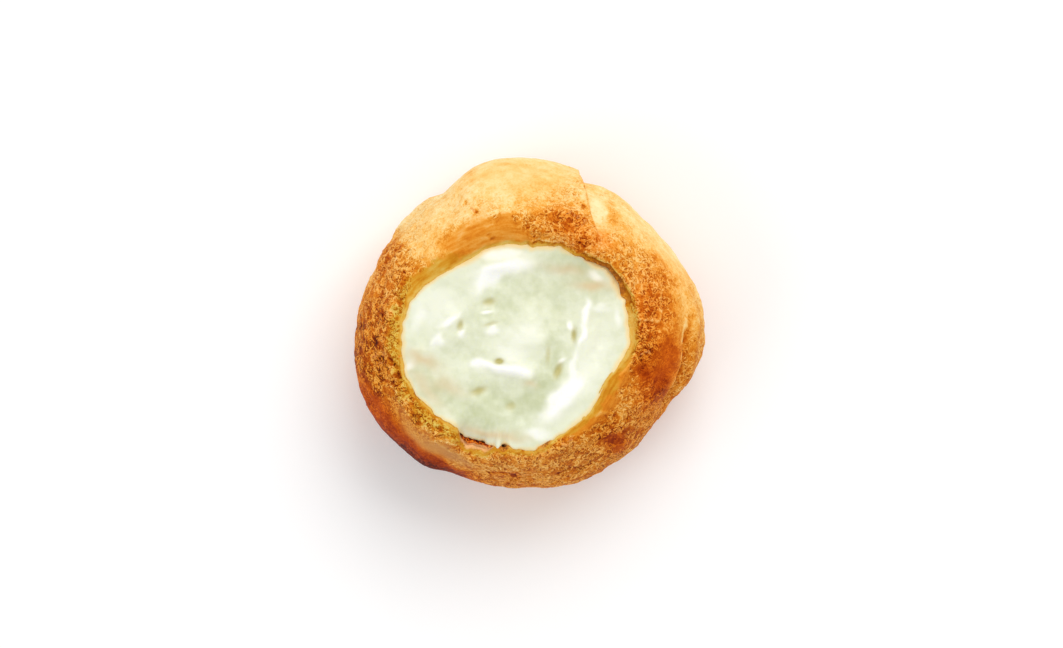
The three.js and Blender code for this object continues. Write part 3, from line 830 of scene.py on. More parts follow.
def crust_surface(bearing, climb):
    """The visible crust: its points, and the levels of its finish at each point.

    The solid's surface, moved along its normal by the coarse relief and by pebbles, a net of raised threads
    along the zero lines of a noise, pits, seams and the crest. Near the lip it moves in plan by its bites.
    """
    bearing, climb = np.broadcast_arrays(bearing, climb)
    points = smooth_crust(bearing, climb, torn_radius)
    normals = crust_normal(bearing, climb, torn_radius)
    lip, widest = (smooth_crust(bearing, level, torn_radius) for level in (1.0, 0.0))
    from_lip = np.where(climb > 0, np.linalg.norm((points - lip)[..., :2], axis=-1), FAR)
    from_outline = np.linalg.norm((points - widest)[..., :2], axis=-1) * (climb > 0)
    height = points[..., 2]
    seen_from_above = smoothstep(height, *SEEN_HEIGHTS)
    on_flank = 1 - smoothstep(height, *FLANK_HEIGHTS)
    plan = points[..., :2] + drift(ZONE_DRIFT, points)
    plan = plan + (1 - smoothstep(height, *DRIFT_HEIGHTS))[..., None] * drift(FLANK_DRIFT, points)
    seam_plan = points[..., :2] + drift(SEAM_DRIFT, points)

    # How crackled it is: by zones, evenly on the slope that leads in to the cream, and hardly on torn skin.
    slope_edge = lobed(0, CREST, bearing) + noise_sum(CREST_WAVER, points)
    has_slope = smoothstep(slope_edge, 2, 4)
    on_slope = (1 - smoothstep(from_lip - slope_edge, -0.25, 0.2)) * has_slope
    crackle = mix(CRACKLE_START, zone_level(CRACKLE, plan, CRACKLE_START), seen_from_above)
    crackle = mix(crackle, CRACKLE_START, on_slope)
    skin_width = lobed(SKIN_WIDTH, SKIN_LOBES, bearing) * (1 + noise_sum(SKIN_WAVER, points))
    skin = 1 - smoothstep(from_lip, 0.7 * skin_width, skin_width + 0.5)
    crackle = crackle * (1 - SKIN_SMOOTHING * skin) + on_flank * noise_sum(FLANK_CRACKLE, points)

    # How brown it is, with painted light and shade: darker towards the foot and paler in furrows, then by
    # zones that hold painted light and shade too, at a level of its own on the slope, partly painted shade,
    # and last the scorched edge, also partly painted shade, and the paler one at the back, painted light.
    blotches = noise_sum(BLOTCHES, points) + crackle * noise_sum(CRACKLE_BLOTCHES, points)
    blotches = blotches + on_flank * noise_sum(FLANK_BLOTCHES, points)
    flank_bake = BROWNING_START + FOOT_BROWNING * (1 - smoothstep(height, 0, 8))
    flank_bake = flank_bake - FURROW_PALING * furrow_depth(bearing, height)
    bake_and_shade = mix(flank_bake, zone_level(BROWNING_AND_LIGHT, plan, flank_bake), seen_from_above)
    slope_bake_and_shade = mix(SLOPE_BROWNING_AND_SHADE, SLOPE_BROWNING_AND_SHADE_RIGHT, smoothstep(plan[..., 0], 1, 10))
    slope_bake_and_shade = slope_bake_and_shade + SLOPE_SHADE_GAIN * np.minimum(from_lip, 8)
    bake_and_shade = mix(bake_and_shade, slope_bake_and_shade, on_slope) + blotches
    inward = from_outline + noise_sum(SCORCH_AND_SHADE_WAVER, points)
    inward = inward / lobed(SCORCH_AND_SHADE_DEPTH, SCORCH_AND_SHADE_DEPTH_LOBES, bearing)
    scorch_and_shade = lobe(SCORCH_AND_SHADE, bearing + on_flank * noise_sum(SCORCH_AND_SHADE_TURN, points))
    scorch_and_shade = scorch_and_shade * (1 - smoothstep(inward, 0.6, 1.1)) * smoothstep(height, 0, 7)
    scorched_and_shaded = mix(lobed(SCORCH_AND_SHADE_LEVEL, SCORCH_AND_SHADE_LEVEL_LOBES, bearing), SCORCH_AND_SHADE_INNER_LEVEL, inward.clip(0, 1))
    bake_and_shade = mix(bake_and_shade, scorched_and_shaded, scorch_and_shade)
    bake_and_shade = bake_and_shade - lobe(OUTLINE_PAINTED_LIGHT, bearing) * np.exp(-from_outline / OUTLINE_PAINTED_LIGHT_DEPTH)
    crackle = crackle * (1 - SCORCH_AND_SHADE_SMOOTHING * scorch_and_shade)

    # The relief, and the painted shade and light that it adds to the browning.
    warped = points + raised(drift(NET_DRIFT, points), noise_sum(NET_LIFT, points))
    thread = np.exp(-((noise(warped, NET_SPACING, NET_SEED) / NET_THREAD) ** 2)) * crackle
    pit = smoothstep(noise(points, PIT_SPACING, PIT_SEED), 0.42, 0.66) * crackle
    pit_marks_and_shade = seen_from_above * oval_sum(SHADED_PITS, seam_plan)
    crest = np.exp(-(((from_lip - slope_edge) / CREST_WIDTH) ** 2)) * has_slope
    relief = coarse_relief(bearing, points) + noise_sum(PEBBLES, points) * (0.3 + 0.9 * crackle)
    relief = relief + NET_RISE * thread - PIT_DEPTH * pit - PIT_SINK * pit_marks_and_shade + CREST_RISE * crest
    # Painted shade darkens the marked pits and the small pits, and a painted highlight pales the crest.
    bake_and_shade = bake_and_shade + pit_marks_and_shade + 0.06 * (pit - crest)
    # Each seam sinks or raises the crust, and its painted shading darkens a groove or pales a thread.
    for seam in SEAMS:
        share = seen_from_above * np.exp(-((line_distance(seam.line, seam_plan) / seam.width) ** 2))
        relief = relief - seam.depth * share
        bake_and_shade = bake_and_shade + seam.tone * share
    points = points + normals * (relief * smoothstep(height, 0, 4))[..., None]
    bitten = lip_bites(bearing) * np.exp(-((from_lip / RAGGED_REACH) ** 2))
    points[..., :2] += direction(bearing) * bitten[..., None]

    # The film of cream and the olive tint beside it. The band is the plan with the way in from the lip,
    # stretched, so that a noise on it makes wrinkles along the rim.
    film_width = lobed(FILM_WIDTH, FILM_LOBES, bearing) * (1 + noise_sum(FILM_WAVER, points))
    film = (1 - (from_lip + FILM_START) / np.maximum(film_width, FILM_START)).clip(0, 1)
    olive_width = lobed(OLIVE_WIDTH, OLIVE_LOBES, bearing) * (1 + noise_sum(OLIVE_WAVER, points))
    olive = 1 - smoothstep(from_lip, 0.5 * olive_width, olive_width + 0.4)
    finish = {
        "bake_and_shade": mix(bake_and_shade, FILM_LEVEL, film**0.7) - OLIVE_PALING * olive,
        "crackle": crackle,
        "thread": thread,
        "skin": skin,
        "film": film,
        "olive": olive,
        "crumb": np.zeros(height.shape),
        "red": (oval_sum(REDNESS, plan) * seen_from_above + 0.8 * scorch_and_shade).clip(0, 1),
        "tan": oval_sum(TAN_AND_SHEEN, plan, 1.6).clip(0, 1) * (1 - scorch_and_shade),
        "band": raised(points[..., :2], WRINKLE_STRETCH * np.minimum(from_lip, 20)) * MM,
    }
    return points, finish


def below_lip(bearing, lip, finish):
    """The edge, the throat and the inside of the crust, and rows of levels for the foot and for each of them.

    The edge turns in and down from the lip by a quarter round, to the torn radius with its bites. The throat
    runs straight on to the inside, roughened by noise, and along the tear it bulges up to a shelf, by the
    sine of the way down. The inside is the smooth bun, set in by the wall.
    """
    tear = lobe(TEAR, bearing) / TEAR.swell
    reach = torn_radius(bearing) + lip_bites(bearing)
    torn = raised(OPENING_CENTRE + direction(bearing) * reach[..., None], lip_height(bearing) - EDGE_DROP)
    turn = np.linspace(0, np.pi / 2, CRUST_ROWS["edge"] + 1)[1:, None]
    edge = mix(lip, torn, np.stack([np.sin(turn), np.sin(turn), 1 - np.cos(turn)], axis=-1))
    inside = inset(bearing, np.cos(np.linspace(0, np.pi, CRUST_ROWS["inside"]))[:, None], WALL)
    deep = np.linspace(0, 1, CRUST_ROWS["throat"] + 2)[1:-1, None]
    throat = mix(torn, inside[:1], deep[..., None])
    throat = throat + noise_sum(THROAT_ROUGHNESS, throat)[..., None]
    throat[..., 2] += THROAT_SHELF * tear * np.sin(np.pi * deep)

    # The torn crumb has a thin pale lip along the tear, and painted shade darkens it down towards the gap
    # under the cream.
    shadowed_edge = (1.4 * lobed(0, GAPS, bearing).clip(0, 1) * (1 - tear)).clip(0, 1)
    ragged_shadow = (shadowed_edge * (1 + noise_sum(EDGE_SHADOW_BREAKS, edge))).clip(0, 1)
    pale_lip = smoothstep(np.sin(turn) + noise_sum(PALE_LIP_BREAKS, edge), 0.35, 0.75)
    ragged = noise_sum(THROAT_BREAKS, throat)
    bake_and_shade, skin, film, olive = (finish[name][-1:] for name in ("bake_and_shade", "skin", "film", "olive"))
    filmed = film + film * (1 - film) * np.sin(turn)
    edge_bake_and_shadow = mix(bake_and_shade, 0.84, ragged_shadow) - 0.3 * (filmed - film)
    # The foot is browned; along the gaps the edge carries a painted shadow, and the throat's painted shade
    # deepens downwards to the inside, which is painted dark with shade.
    levels = dict.fromkeys(finish, (0, 0, 0, 0)) | {
        "bake_and_shade": (0.74, edge_bake_and_shadow, 0.48 + 0.4 * smoothstep(deep + 0.22 * ragged, 0, 0.8), 0.95),
        "crackle": (0.4, 0.8, 0.8, 0.2),
        "skin": (0, skin, 0, 0),
        "film": (0, filmed, 0, 0),
        "olive": (0, olive * (1 - 0.7 * shadowed_edge), 0, 0),
        "crumb": (0, tear * pale_lip, tear * (1 - smoothstep(deep + 0.2 * ragged, 0, 0.25)), 0),
        "red": (0, 0, 0.8 * tear, 0),
        "tan": (0, 0.15 * shadowed_edge, 0.3 * (1 - tear), 0),
    }
    return (edge, throat, inside), levels


# ---- The cream ----


def cream_top(bearing, inward):
    """The top of the cream, from its rim at 0 to the middle at 1, and the levels of its finish at each point.

    In plan the rim is the opening plus a lap, the lip's bites, a drip and a waver, and every ring inside it
    is the rim drawn in towards the opening's centre. The rim lies on the rounded edge of the crust, wherever
    that is, and sags in the gaps. The height goes from the rim's to the cream's level by a parabola over the
    shoulder, and swells, lumps, folds, dimples and a bead along the rim are added to it.
    """
    gap = lobed(0, GAPS, bearing).clip(0, 1)
    rim = round_opening(bearing)
    waver = noise_sum(CREAM_WAVER, rim) + gap * noise_sum(CREAM_WAVER_GAP, rim)
    bitten_out = lobe(TEAR, bearing) + lip_bites(bearing)
    reach = opening_radius(bearing) + lobed(CREAM_LAP, (CREAM_DRIP, *CREAM_REACHES), bearing)
    reach = reach + waver - CREAM_LAP_BACK * gap + bitten_out * (1 - gap)
    past_edge = ((opening_radius(bearing) + bitten_out + EDGE_WIDTH - reach) / EDGE_WIDTH).clip(0, 1)
    rim_height = lip_height(bearing) - EDGE_DROP * (1 - np.sqrt(1 - past_edge**2)) * (1 - gap)
    rim_height = rim_height + CREAM_THICKNESS - lobed(0, GAP_SAGS, bearing)
    plan = OPENING_CENTRE + direction(bearing) * (reach * (1 - inward))[..., None]
    flat = raised(plan, 0.0)
    spread = plan + drift(CREAM_DRIFT, flat)
    swell = oval_sum(SWELLS, plan) + noise_sum(CREAM_LUMPS, flat)
    relief = swell + noise_sum(CREAM_FINE, flat)
    relief = relief + oval_sum(CREAM_FOLDS_AND_HIGHLIGHTS, spread) + oval_sum(CREAM_DIMPLES_AND_SHADE, plan)
    risen = 1 - (1 - np.minimum(inward / CREAM_SHOULDER, 1)) ** 2
    from_rim = reach * inward
    bead = CREAM_BEAD * (1 - np.exp(-from_rim / CREAM_BEAD_REACH)) * (1 - risen)
    top = raised(plan, mix(rim_height, CREAM_LEVEL + relief, risen) + bead)

    # Painted highlights whiten the folds, and painted shade darkens the dimples and the hollows.
    highlight_ovals, dimple_shade_ovals = (
        [one._replace(level=one.strength) for one in ovals] for ovals in (CREAM_FOLDS_AND_HIGHLIGHTS, CREAM_DIMPLES_AND_SHADE)
    )
    stained = CREAM_STAIN * (1 + noise_sum(CREAM_STAIN_WAVER, rim))
    stained = stained * (1 - 0.8 * lobe(CREAM_DRIP, bearing) / CREAM_DRIP.swell)
    levels = {
        "fold_highlight": oval_sum(highlight_ovals, spread, 1.5).clip(0, 1),
        "hollow_shade": (oval_sum(CREAM_HOLLOW_SHADE, spread) - 0.1 * swell).clip(0, 1),
        "dimple_shade": oval_sum(dimple_shade_ovals, plan, 1.4).clip(0, 1),
        "warm": oval_sum(CREAM_WARMTH, spread).clip(0, 1),
        "edge": 0.9 * (1 - smoothstep(from_rim, -0.1, stained)),
    }
    return top, levels


# ---- Meshes ----


def closed_faces(rings, columns):
    """Triangles and quads of a grid that is closed by a pole at each end: points are pole, rings, pole."""
    index = 1 + np.arange(rings * columns).reshape(rings, columns)
    following = np.roll(index, -1, axis=1)
    quads = np.stack([index[:-1], following[:-1], following[1:], index[1:]], axis=-1).reshape(-1, 4)
    first = np.stack([np.zeros(columns, int), following[0], index[0]], axis=-1)
    last = np.stack([np.full(columns, rings * columns + 1), index[-1], following[-1]], axis=-1)
    return np.concatenate([first, last]), quads


def make_piece(name, points, triangles, quads):
    """A smooth-shaded mesh object, from points in millimetres."""
    loops = np.concatenate([triangles.ravel(), quads.ravel()])
    sizes = np.repeat([3, 4], [len(triangles), len(quads)])
    mesh = bpy.data.meshes.new(name)
    mesh.vertices.add(len(points))
    mesh.vertices.foreach_set("co", (points * MM).ravel().astype(np.float32))
    mesh.loops.add(len(loops))
    mesh.loops.foreach_set("vertex_index", loops.astype(np.int32))
    mesh.polygons.add(len(sizes))
    mesh.polygons.foreach_set("loop_start", (np.cumsum(sizes) - sizes).astype(np.int32))
    mesh.update(calc_edges=True)
    mesh.shade_smooth()
    if mesh.validate():
        raise RuntimeError(f"{name} has bad faces")
    piece = bpy.data.objects.new(name, mesh)
    bpy.context.scene.collection.objects.link(piece)
    return piece


def store(piece, name, values):
    """Keeps a value, or a vector, a point on the piece, for its material to read."""
    values = np.asarray(values, np.float32)
    kind, field = ("FLOAT_VECTOR", "vector") if values.ndim == 2 else ("FLOAT", "value")
    piece.data.attributes.new(name, kind, "POINT").data.foreach_set(field, values.ravel())


def lumps(places, normals, sizes, turns):
    """Points and faces of small closed lumps that lie on a surface.

    Each is a ball of a few faces, stretched by its three half sizes, dented by noise, and turned so that its
    third size stands along the surface's normal and its first lies at the given bearing.
    """
    latitude = np.radians(np.linspace(-90, 90, LUMP_RINGS + 2))[1:-1, None]
    outward = raised(direction(np.arange(LUMP_COLUMNS) * 360 / LUMP_COLUMNS), 0.0)
    rings = outward * np.cos(latitude)[..., None]
    rings[..., 2] += np.sin(latitude)
    ball = np.concatenate([[[0, 0, -1]], rings.reshape(-1, 3), [[0, 0, 1]]])
    # Far enough apart in the noise that no two lumps are alike.
    apart = 7.3 * np.arange(len(places))[:, None, None]
    dented = ball * (1 + noise_sum(LUMP_DENTS, ball + apart))[..., None] * sizes[:, None, :]
    across = np.cross(normals, raised(direction(turns), 0.0))
    across = across / np.linalg.norm(across, axis=-1, keepdims=True)
    along = np.cross(across, normals)
    points = places[:, None, :] + dented @ np.stack([along, across, normals], axis=1)
    triangles, quads = closed_faces(LUMP_RINGS, LUMP_COLUMNS)
    first = len(ball) * np.arange(len(places))[:, None, None]
    return points.reshape(-1, 3), (triangles + first).reshape(-1, 3), (quads + first).reshape(-1, 4)


def drawing_shift():
    """How far the drawing's origin lies from the frame's, in plan: the solid is centred by its own box."""
    bearing = np.arange(0, 360, 3.0)[None, :]
    climb = np.linspace(-1, 1, 40)[:, None]
    points = smooth_crust(bearing, climb, torn_radius)
    relief = coarse_relief(bearing, points) * smoothstep(points[..., 2], 0, 4)
    points = points + crust_normal(bearing, climb, torn_radius) * relief[..., None]
    corners = np.array(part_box("choux_shell"))[:, :2] / MM
    middle = (points.min((0, 1))[:2] + points.max((0, 1))[:2]) / 2
    return np.append(corners.mean(0) - middle, 0)


# ---- Materials ----


def linear(code):
    """A colour with alpha 1, from an sRGB hex code."""
    parts = np.array([int(code[i : i + 2], 16) for i in (1, 3, 5)]) / 255
    parts = np.where(parts <= 0.04045, parts / 12.92, ((parts + 0.055) / 1.055) ** 2.4)
    return (*map(float, parts), 1.0)


def add_node(tree, kind, inputs=None, out=0, stops=(), **settings):
    """Adds a node and gives its output. An input that is a socket is linked, and any other is set."""
    node = tree.nodes.new("ShaderNode" + kind)
    for name, value in settings.items():
        setattr(node, name, value)
    for name, value in (inputs or {}).items():
        if isinstance(value, bpy.types.NodeSocket):
            tree.links.new(value, node.inputs[name])
        else:
            node.inputs[name].default_value = value
    if stops:
        ramp = node.color_ramp.elements
        for place, _ in stops[1:-1]:
            ramp.new(place)
        for element, (place, code) in zip(ramp, stops):
            element.position = place
            element.color = linear(code)
    return node.outputs[out] if node.outputs else node


def new_material(name):
    """A new material, and add_node for its tree."""
    material = bpy.data.materials.new(name)
    material.use_nodes = True
    material.node_tree.nodes.clear()
    return material, partial(add_node, material.node_tree)


def mottled(add, vector, size, swing, **inputs):
    """A noise with lumps of one size in millimetres, raw and spread from minus to plus its swing."""
    raw = add("TexNoise", {"Vector": vector, "Scale": 1 / (size * MM), **inputs}, out="Fac")
    spread = {"From Min": 0.35, "From Max": 0.65, "To Min": -swing, "To Max": swing}
    return raw, add("MapRange", {"Value": raw, **spread})


def baked_choux(settings):
    """Choux pastry: egg-rich dough, puffed and browned in a hot oven.

    The skin goes from pale dough through gold to red-brown where it caught the heat, with painted light and
    shade in that browning, crazed by a net of fine threads that stay paler than the skin between them, each
    with a painted shadow along one side. It is matt, and a little less so where it is smooth.
    """
    material, add = new_material("baked_choux")
    place = add("TexCoord", out="Object")
    bake_and_shade, crackle, thread, skin, film, olive, crumb, red, tan = (
        add("Attribute", attribute_name=name, out="Fac") for name in CHOUX_LEVELS
    )
    band = add("Attribute", attribute_name="band", out="Vector")

    # Mottles 2.6 mm across, and wrinkles along the rim 4 mm long and 0.7 mm apart on smooth skin. Grain of
    # 0.4 mm, faint on smooth skin and strong where the crust is crackled.
    _, patch = mottled(add, place, 2.6, 0.06, Detail=3.0, Roughness=0.55)
    _, wrinkle = mottled(add, band, 4.0, 0.1)
    wrinkle = add("Math", {0: wrinkle, 1: skin}, operation="MULTIPLY")
    _, grain = mottled(add, place, 0.4, 1.0, Roughness=0.6, Distortion=0.6)
    rough = add("Math", {0: crackle, 1: 0.115, 2: 0.015}, operation="MULTIPLY_ADD")
    grained = add("Math", {0: grain, 1: rough}, operation="MULTIPLY")

    # Curly threads follow the middle level of a twisted noise, with a painted shadow along one side, also
    # sunk as a groove in the bump, and break off in places. The noise has lumps of 1.7 mm, and of 1 mm for
    # the finer threads between them.
    torn = add("TexNoise", {"Vector": place, "Scale": 1 / (1.7 * MM), "Detail": 1.0}, out="Fac")
    curls = []
    for spacing, twist, width, low in ((1.7, 2.0, 0.08, 0.36), (1.05, 1.3, 0.09, 0.40)):
        inputs = {"Vector": place, "Scale": 1 / (spacing * MM), "Detail": 1.0, "Distortion": twist}
        twisted = add("TexNoise", inputs, out="Fac")
        lines = []
        for middle, half in ((0.5, width), (0.5 + 1.6 * width, 0.6 * width)):
            offset = add("Math", {0: twisted, 1: middle}, operation="SUBTRACT")
            distance = add("Math", {0: offset}, operation="ABSOLUTE")
            span = {"Value": distance, "From Min": 0.3 * half, "From Max": half, "To Min": 1.0, "To Max": 0.0}
            lines.append(add("MapRange", span))
        unbroken = add("Math", {0: lines[1], 1: -1.5, 2: lines[0]}, operation="MULTIPLY_ADD")
        kept = add("MapRange", {"Value": torn, "From Min": low, "From Max": low + 0.08})
        broken = add("Math", {0: unbroken, 1: kept}, operation="MULTIPLY")
        curls.append(add("Math", {0: broken, 1: crackle}, operation="MULTIPLY"))
    fine = add("Math", {0: curls[1], 1: 0.8, 2: curls[0]}, operation="MULTIPLY_ADD")

    # Pinholes 0.3 mm across, sunk in the bump and darkened by painted shade.
    speck = add("TexNoise", {"Vector": place, "Scale": 1 / (0.65 * MM), "Detail": 0.0}, out="Fac")
    speck = add("MapRange", {"Value": speck, "From Min": 0.66, "From Max": 0.76, "To Max": 0.14})
    specked = add("Math", {0: speck, 1: crackle}, operation="MULTIPLY")

    # The level of browning: threads are paler by a share, and the painted shadows beside them darker by a
    # step.
    level = bake_and_shade
    for part in (patch, wrinkle, grained, specked):
        level = add("Math", {0: level, 1: part}, operation="ADD")
    for part, share in ((crackle, 0.11), (thread, -0.06)):
        level = add("Math", {0: part, 1: share, 2: level}, operation="MULTIPLY_ADD")
    paled = add("MapRange", {"Value": fine, "To Min": 1.0, "To Max": 0.5})
    level = add("Math", {0: level, 1: paled}, operation="MULTIPLY")
    thread_shadow = add("MapRange", {"Value": fine, "From Max": -1.5, "To Max": 0.18})
    level = add("Math", {0: level, 1: thread_shadow}, operation="ADD")
    browning = (
        (0.0, "#feeab4"),
        (0.12, "#fdda97"),
        (0.24, "#fac774"),
        (0.36, "#f2ab48"),
        (0.48, "#e48f28"),
        (0.58, "#d37616"),
        (0.68, "#be5f0a"),
        (0.78, "#a74904"),
        (0.88, "#883100"),
        (1.0, "#4c1200"),
    )
    colour = add("ValToRGB", {"Fac": level}, stops=browning)
    faint_skin = add("Math", {0: skin, 1: 0.35}, operation="MULTIPLY")
    faint_film = add("Math", {0: film, 1: 0.4}, operation="MULTIPLY")
    # The tan is partly a painted sheen, along the smooth band at the front left.
    tints = (
        (red, "#ffcfa6", "MULTIPLY"),
        (faint_skin, "#e08722", "MIX"),
        (tan, "#c68e55", "MIX"),
        (olive, "#e6f3c0", "MULTIPLY"),
        (faint_film, "#eec46c", "MIX"),
        (crumb, "#f4bd80", "MIX"),
    )
    for share, code, blend in tints:
        inputs = {"Factor": share, 6: colour, 7: linear(code)}
        colour = add("Mix", inputs, out=2, data_type="RGBA", blend_type=blend)

    # The finest relief, too small for the mesh: threads and grain about 0.1 mm high.
    height = add("Math", {0: fine, 1: 0.8, 2: grained}, operation="MULTIPLY_ADD")
    height = add("Math", {0: specked, 1: -2.0, 2: height}, operation="MULTIPLY_ADD")
    normal = add("Bump", {"Height": height, "Strength": 0.75, "Distance": settings.grain_height})
    roughness = add("Math", {0: skin, 1: -0.14, 2: 0.64}, operation="MULTIPLY_ADD")
    finish = {"Base Color": colour, "Roughness": roughness, "Normal": normal}
    shader = add("BsdfPrincipled", {**finish, "IOR": 1.45, "Specular IOR Level": 0.06})
    add("OutputMaterial", {"Surface": shader})
    return material


def whipped_cream(settings):
    """Whipped dairy cream, spooned in: off-white, soft and moist, and light sinks a few millimetres into it.

    Its folds are whitened by painted highlights, its hollows and dimples darkened and greened by painted
    shade, its thin edge takes the crust's colour, and its slopes shine.
    """
    material, add = new_material("whipped_cream")
    place = add("TexCoord", out="Object")
    fold_highlight, hollow_shade, dimple_shade, warm, edge = (
        add("Attribute", attribute_name=name, out="Fac") for name in CREAM_LEVELS
    )
    # Soft clouds 2.2 mm across.
    soft, cloudy = mottled(add, place, 2.2, 0.2, Detail=3.0)
    depth = add("Math", {0: hollow_shade, 1: cloudy}, operation="ADD", use_clamp=True)
    colour = (*settings.colour, 1.0)
    # Painted shade darkens the hollows and dimples, and painted highlights whiten the folds; the warm stain
    # and the edge tint are the cream's own colour.
    tints = ((depth, "#c2c89c"), (fold_highlight, "#fffff6"), (dimple_shade, "#c3ba78"), (warm, "#dcc497"), (edge, "#f3d794"))
    for share, code in tints:
        colour = add("Mix", {"Factor": share, 6: colour, 7: linear(code)}, out=2, data_type="RGBA")
    finish = {
        "Base Color": colour,
        "Roughness": 0.34,
        "IOR": 1.45,
        "Subsurface Weight": 0.3,
        "Subsurface Radius": (1.0, 0.95, 0.6),
        "Subsurface Scale": 0.9 * MM,
        "Normal": add("Bump", {"Height": soft, "Strength": 0.5, "Distance": 0.2 * MM}),
    }
    add("OutputMaterial", {"Surface": add("BsdfPrincipled", finish)})
    return material


def pale_card():
    """Matt white card, for the floor."""
    material, add = new_material("pale_card")
    shader = add("BsdfPrincipled", {"Base Color": linear("#ffffff"), "Roughness": 0.9})
    add("OutputMaterial", {"Surface": shader})
    return material


# ---- Settings that a user would change ----


class PuffCrustSettings(bpy.types.PropertyGroup):
    grain_height: bpy.props.FloatProperty(
        name="Grain height",
        description="Height of the finest roughness of the crust",
        default=0.07 * MM,
        unit="LENGTH",
        precision=5,
    )


class PuffCreamSettings(bpy.types.PropertyGroup):
    colour: bpy.props.FloatVectorProperty(
        name="Colour",
        description="Colour of the cream where it is neither folded nor hollow",
        default=linear("#e5e8ce")[:3],
        subtype="COLOR",
        min=0,
        max=1,
    )


class PuffCrumbSettings(bpy.types.PropertyGroup):
    size: bpy.props.FloatProperty(
        name="Crumb size",
        description="Half the usual size of a loose crumb",
        default=CRUMB_SIZE * MM,
        unit="LENGTH",
        precision=5,
    )


class PuffStageSettings(bpy.types.PropertyGroup):
    key_power: bpy.props.FloatProperty(
        name="Key light",
        description="Power of the softbox behind the puff",
        default=3.4,
        unit="POWER",
    )
    fill_power: bpy.props.FloatProperty(
        name="Fill light",
        description="Power of the softbox at the front left",
        default=1.3,
        unit="POWER",
    )
    sky: bpy.props.FloatProperty(
        name="Sky",
        description="Brightness of the light all round",
        default=0.65,
    )
    camera_height: bpy.props.FloatProperty(
        name="Camera height",
        description="Height of the lens above the floor",
        default=0.652,
        unit="LENGTH",
    )


# ---- Pieces ----


def finish_piece(piece, material, levels):
    """Stores the finish levels, gives the piece its material, and makes it ride on the puff."""
    for name, values in levels.items():
        store(piece, name, values)
    piece.data.materials.append(material)
    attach(piece, "root")


class PUFF_OT_crust(bpy.types.Operator):
    """Builds the baked crust, with its crackle, folds and torn rim"""

    bl_idname = "puff.crust"
    bl_label = "Crust"

    def execute(self, context):
        bearing = (np.arange(CRUST_COLUMNS) * 360 / CRUST_COLUMNS)[None, :]
        flank = np.linspace(-1, 0, CRUST_ROWS["flank"], endpoint=False)
        climb = np.append(flank, np.linspace(0, 1, CRUST_ROWS["dome"]))[:, None]
        outer, finish = crust_surface(bearing, climb)
        foot = outer[:1] * np.linspace(0.25, 1, CRUST_ROWS["foot"], endpoint=False)[:, None, None]
        inner, levels = below_lip(bearing, outer[-1:], finish)
        bare = (foot, *inner)
        rings = np.concatenate([foot, outer, *inner])
        points = np.concatenate([[[0, 0, 0]], rings.reshape(-1, 3), [[0, 0, WALL]]]) + drawing_shift()
        crust = make_piece("crust", points, *closed_faces(*rings.shape[:2]))
        for name, row in levels.items():
            size = finish[name].shape[2:]
            parts = [np.broadcast_to(level, part.shape[:2] + size) for level, part in zip(row, bare)]
            values = np.concatenate([parts[0], finish[name], *parts[1:]]).reshape(-1, *size)
            levels[name] = np.concatenate([values[:1], values, values[-1:]])
        finish_piece(crust, baked_choux(context.scene.puff_crust), levels)
        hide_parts("choux_shell")
        return {"FINISHED"}


class PUFF_OT_cream(bpy.types.Operator):
    """Builds the whipped cream, with its swells and dimples"""

    bl_idname = "puff.cream"
    bl_label = "Cream"

    def execute(self, context):
        bearing = (np.arange(CREAM_COLUMNS) * 360 / CREAM_COLUMNS)[None, :]
        climb = np.sin(np.linspace(-np.pi / 2, np.pi / 2, CREAM_ROWS["side"]))[:, None]
        side = inset(bearing, climb, WALL + GAP)
        floor = side[:1] * np.linspace(0.4, 1, CREAM_ROWS["floor"], endpoint=False)[:, None, None]
        floor[..., 2] = WALL + GAP
        inward = (np.linspace(0, 1, CREAM_ROWS["top"], endpoint=False) ** 1.15)[:, None]
        top, levels = cream_top(bearing, inward)
        edge = mix(side[-1:], top[:1], np.linspace(0, 1, CREAM_ROWS["edge"], endpoint=False)[1:, None, None])
        rings = np.concatenate([floor, side, edge, top])
        centre = np.append(OPENING_CENTRE, top[-1, :, 2].mean())
        points = np.concatenate([[[0, 0, WALL + GAP]], rings.reshape(-1, 3), [centre]]) + drawing_shift()
        cream = make_piece("cream", points, *closed_faces(*rings.shape[:2]))
        before = 1 + (len(rings) - len(top)) * CREAM_COLUMNS
        for name, level in levels.items():
            values = np.broadcast_to(level, top.shape[:2]).ravel()
            levels[name] = np.concatenate([np.full(before, values[0]), values, values[-1:]])
        finish_piece(cream, whipped_cream(context.scene.puff_cream), levels)
        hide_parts("cream_filling")
        return {"FINISHED"}


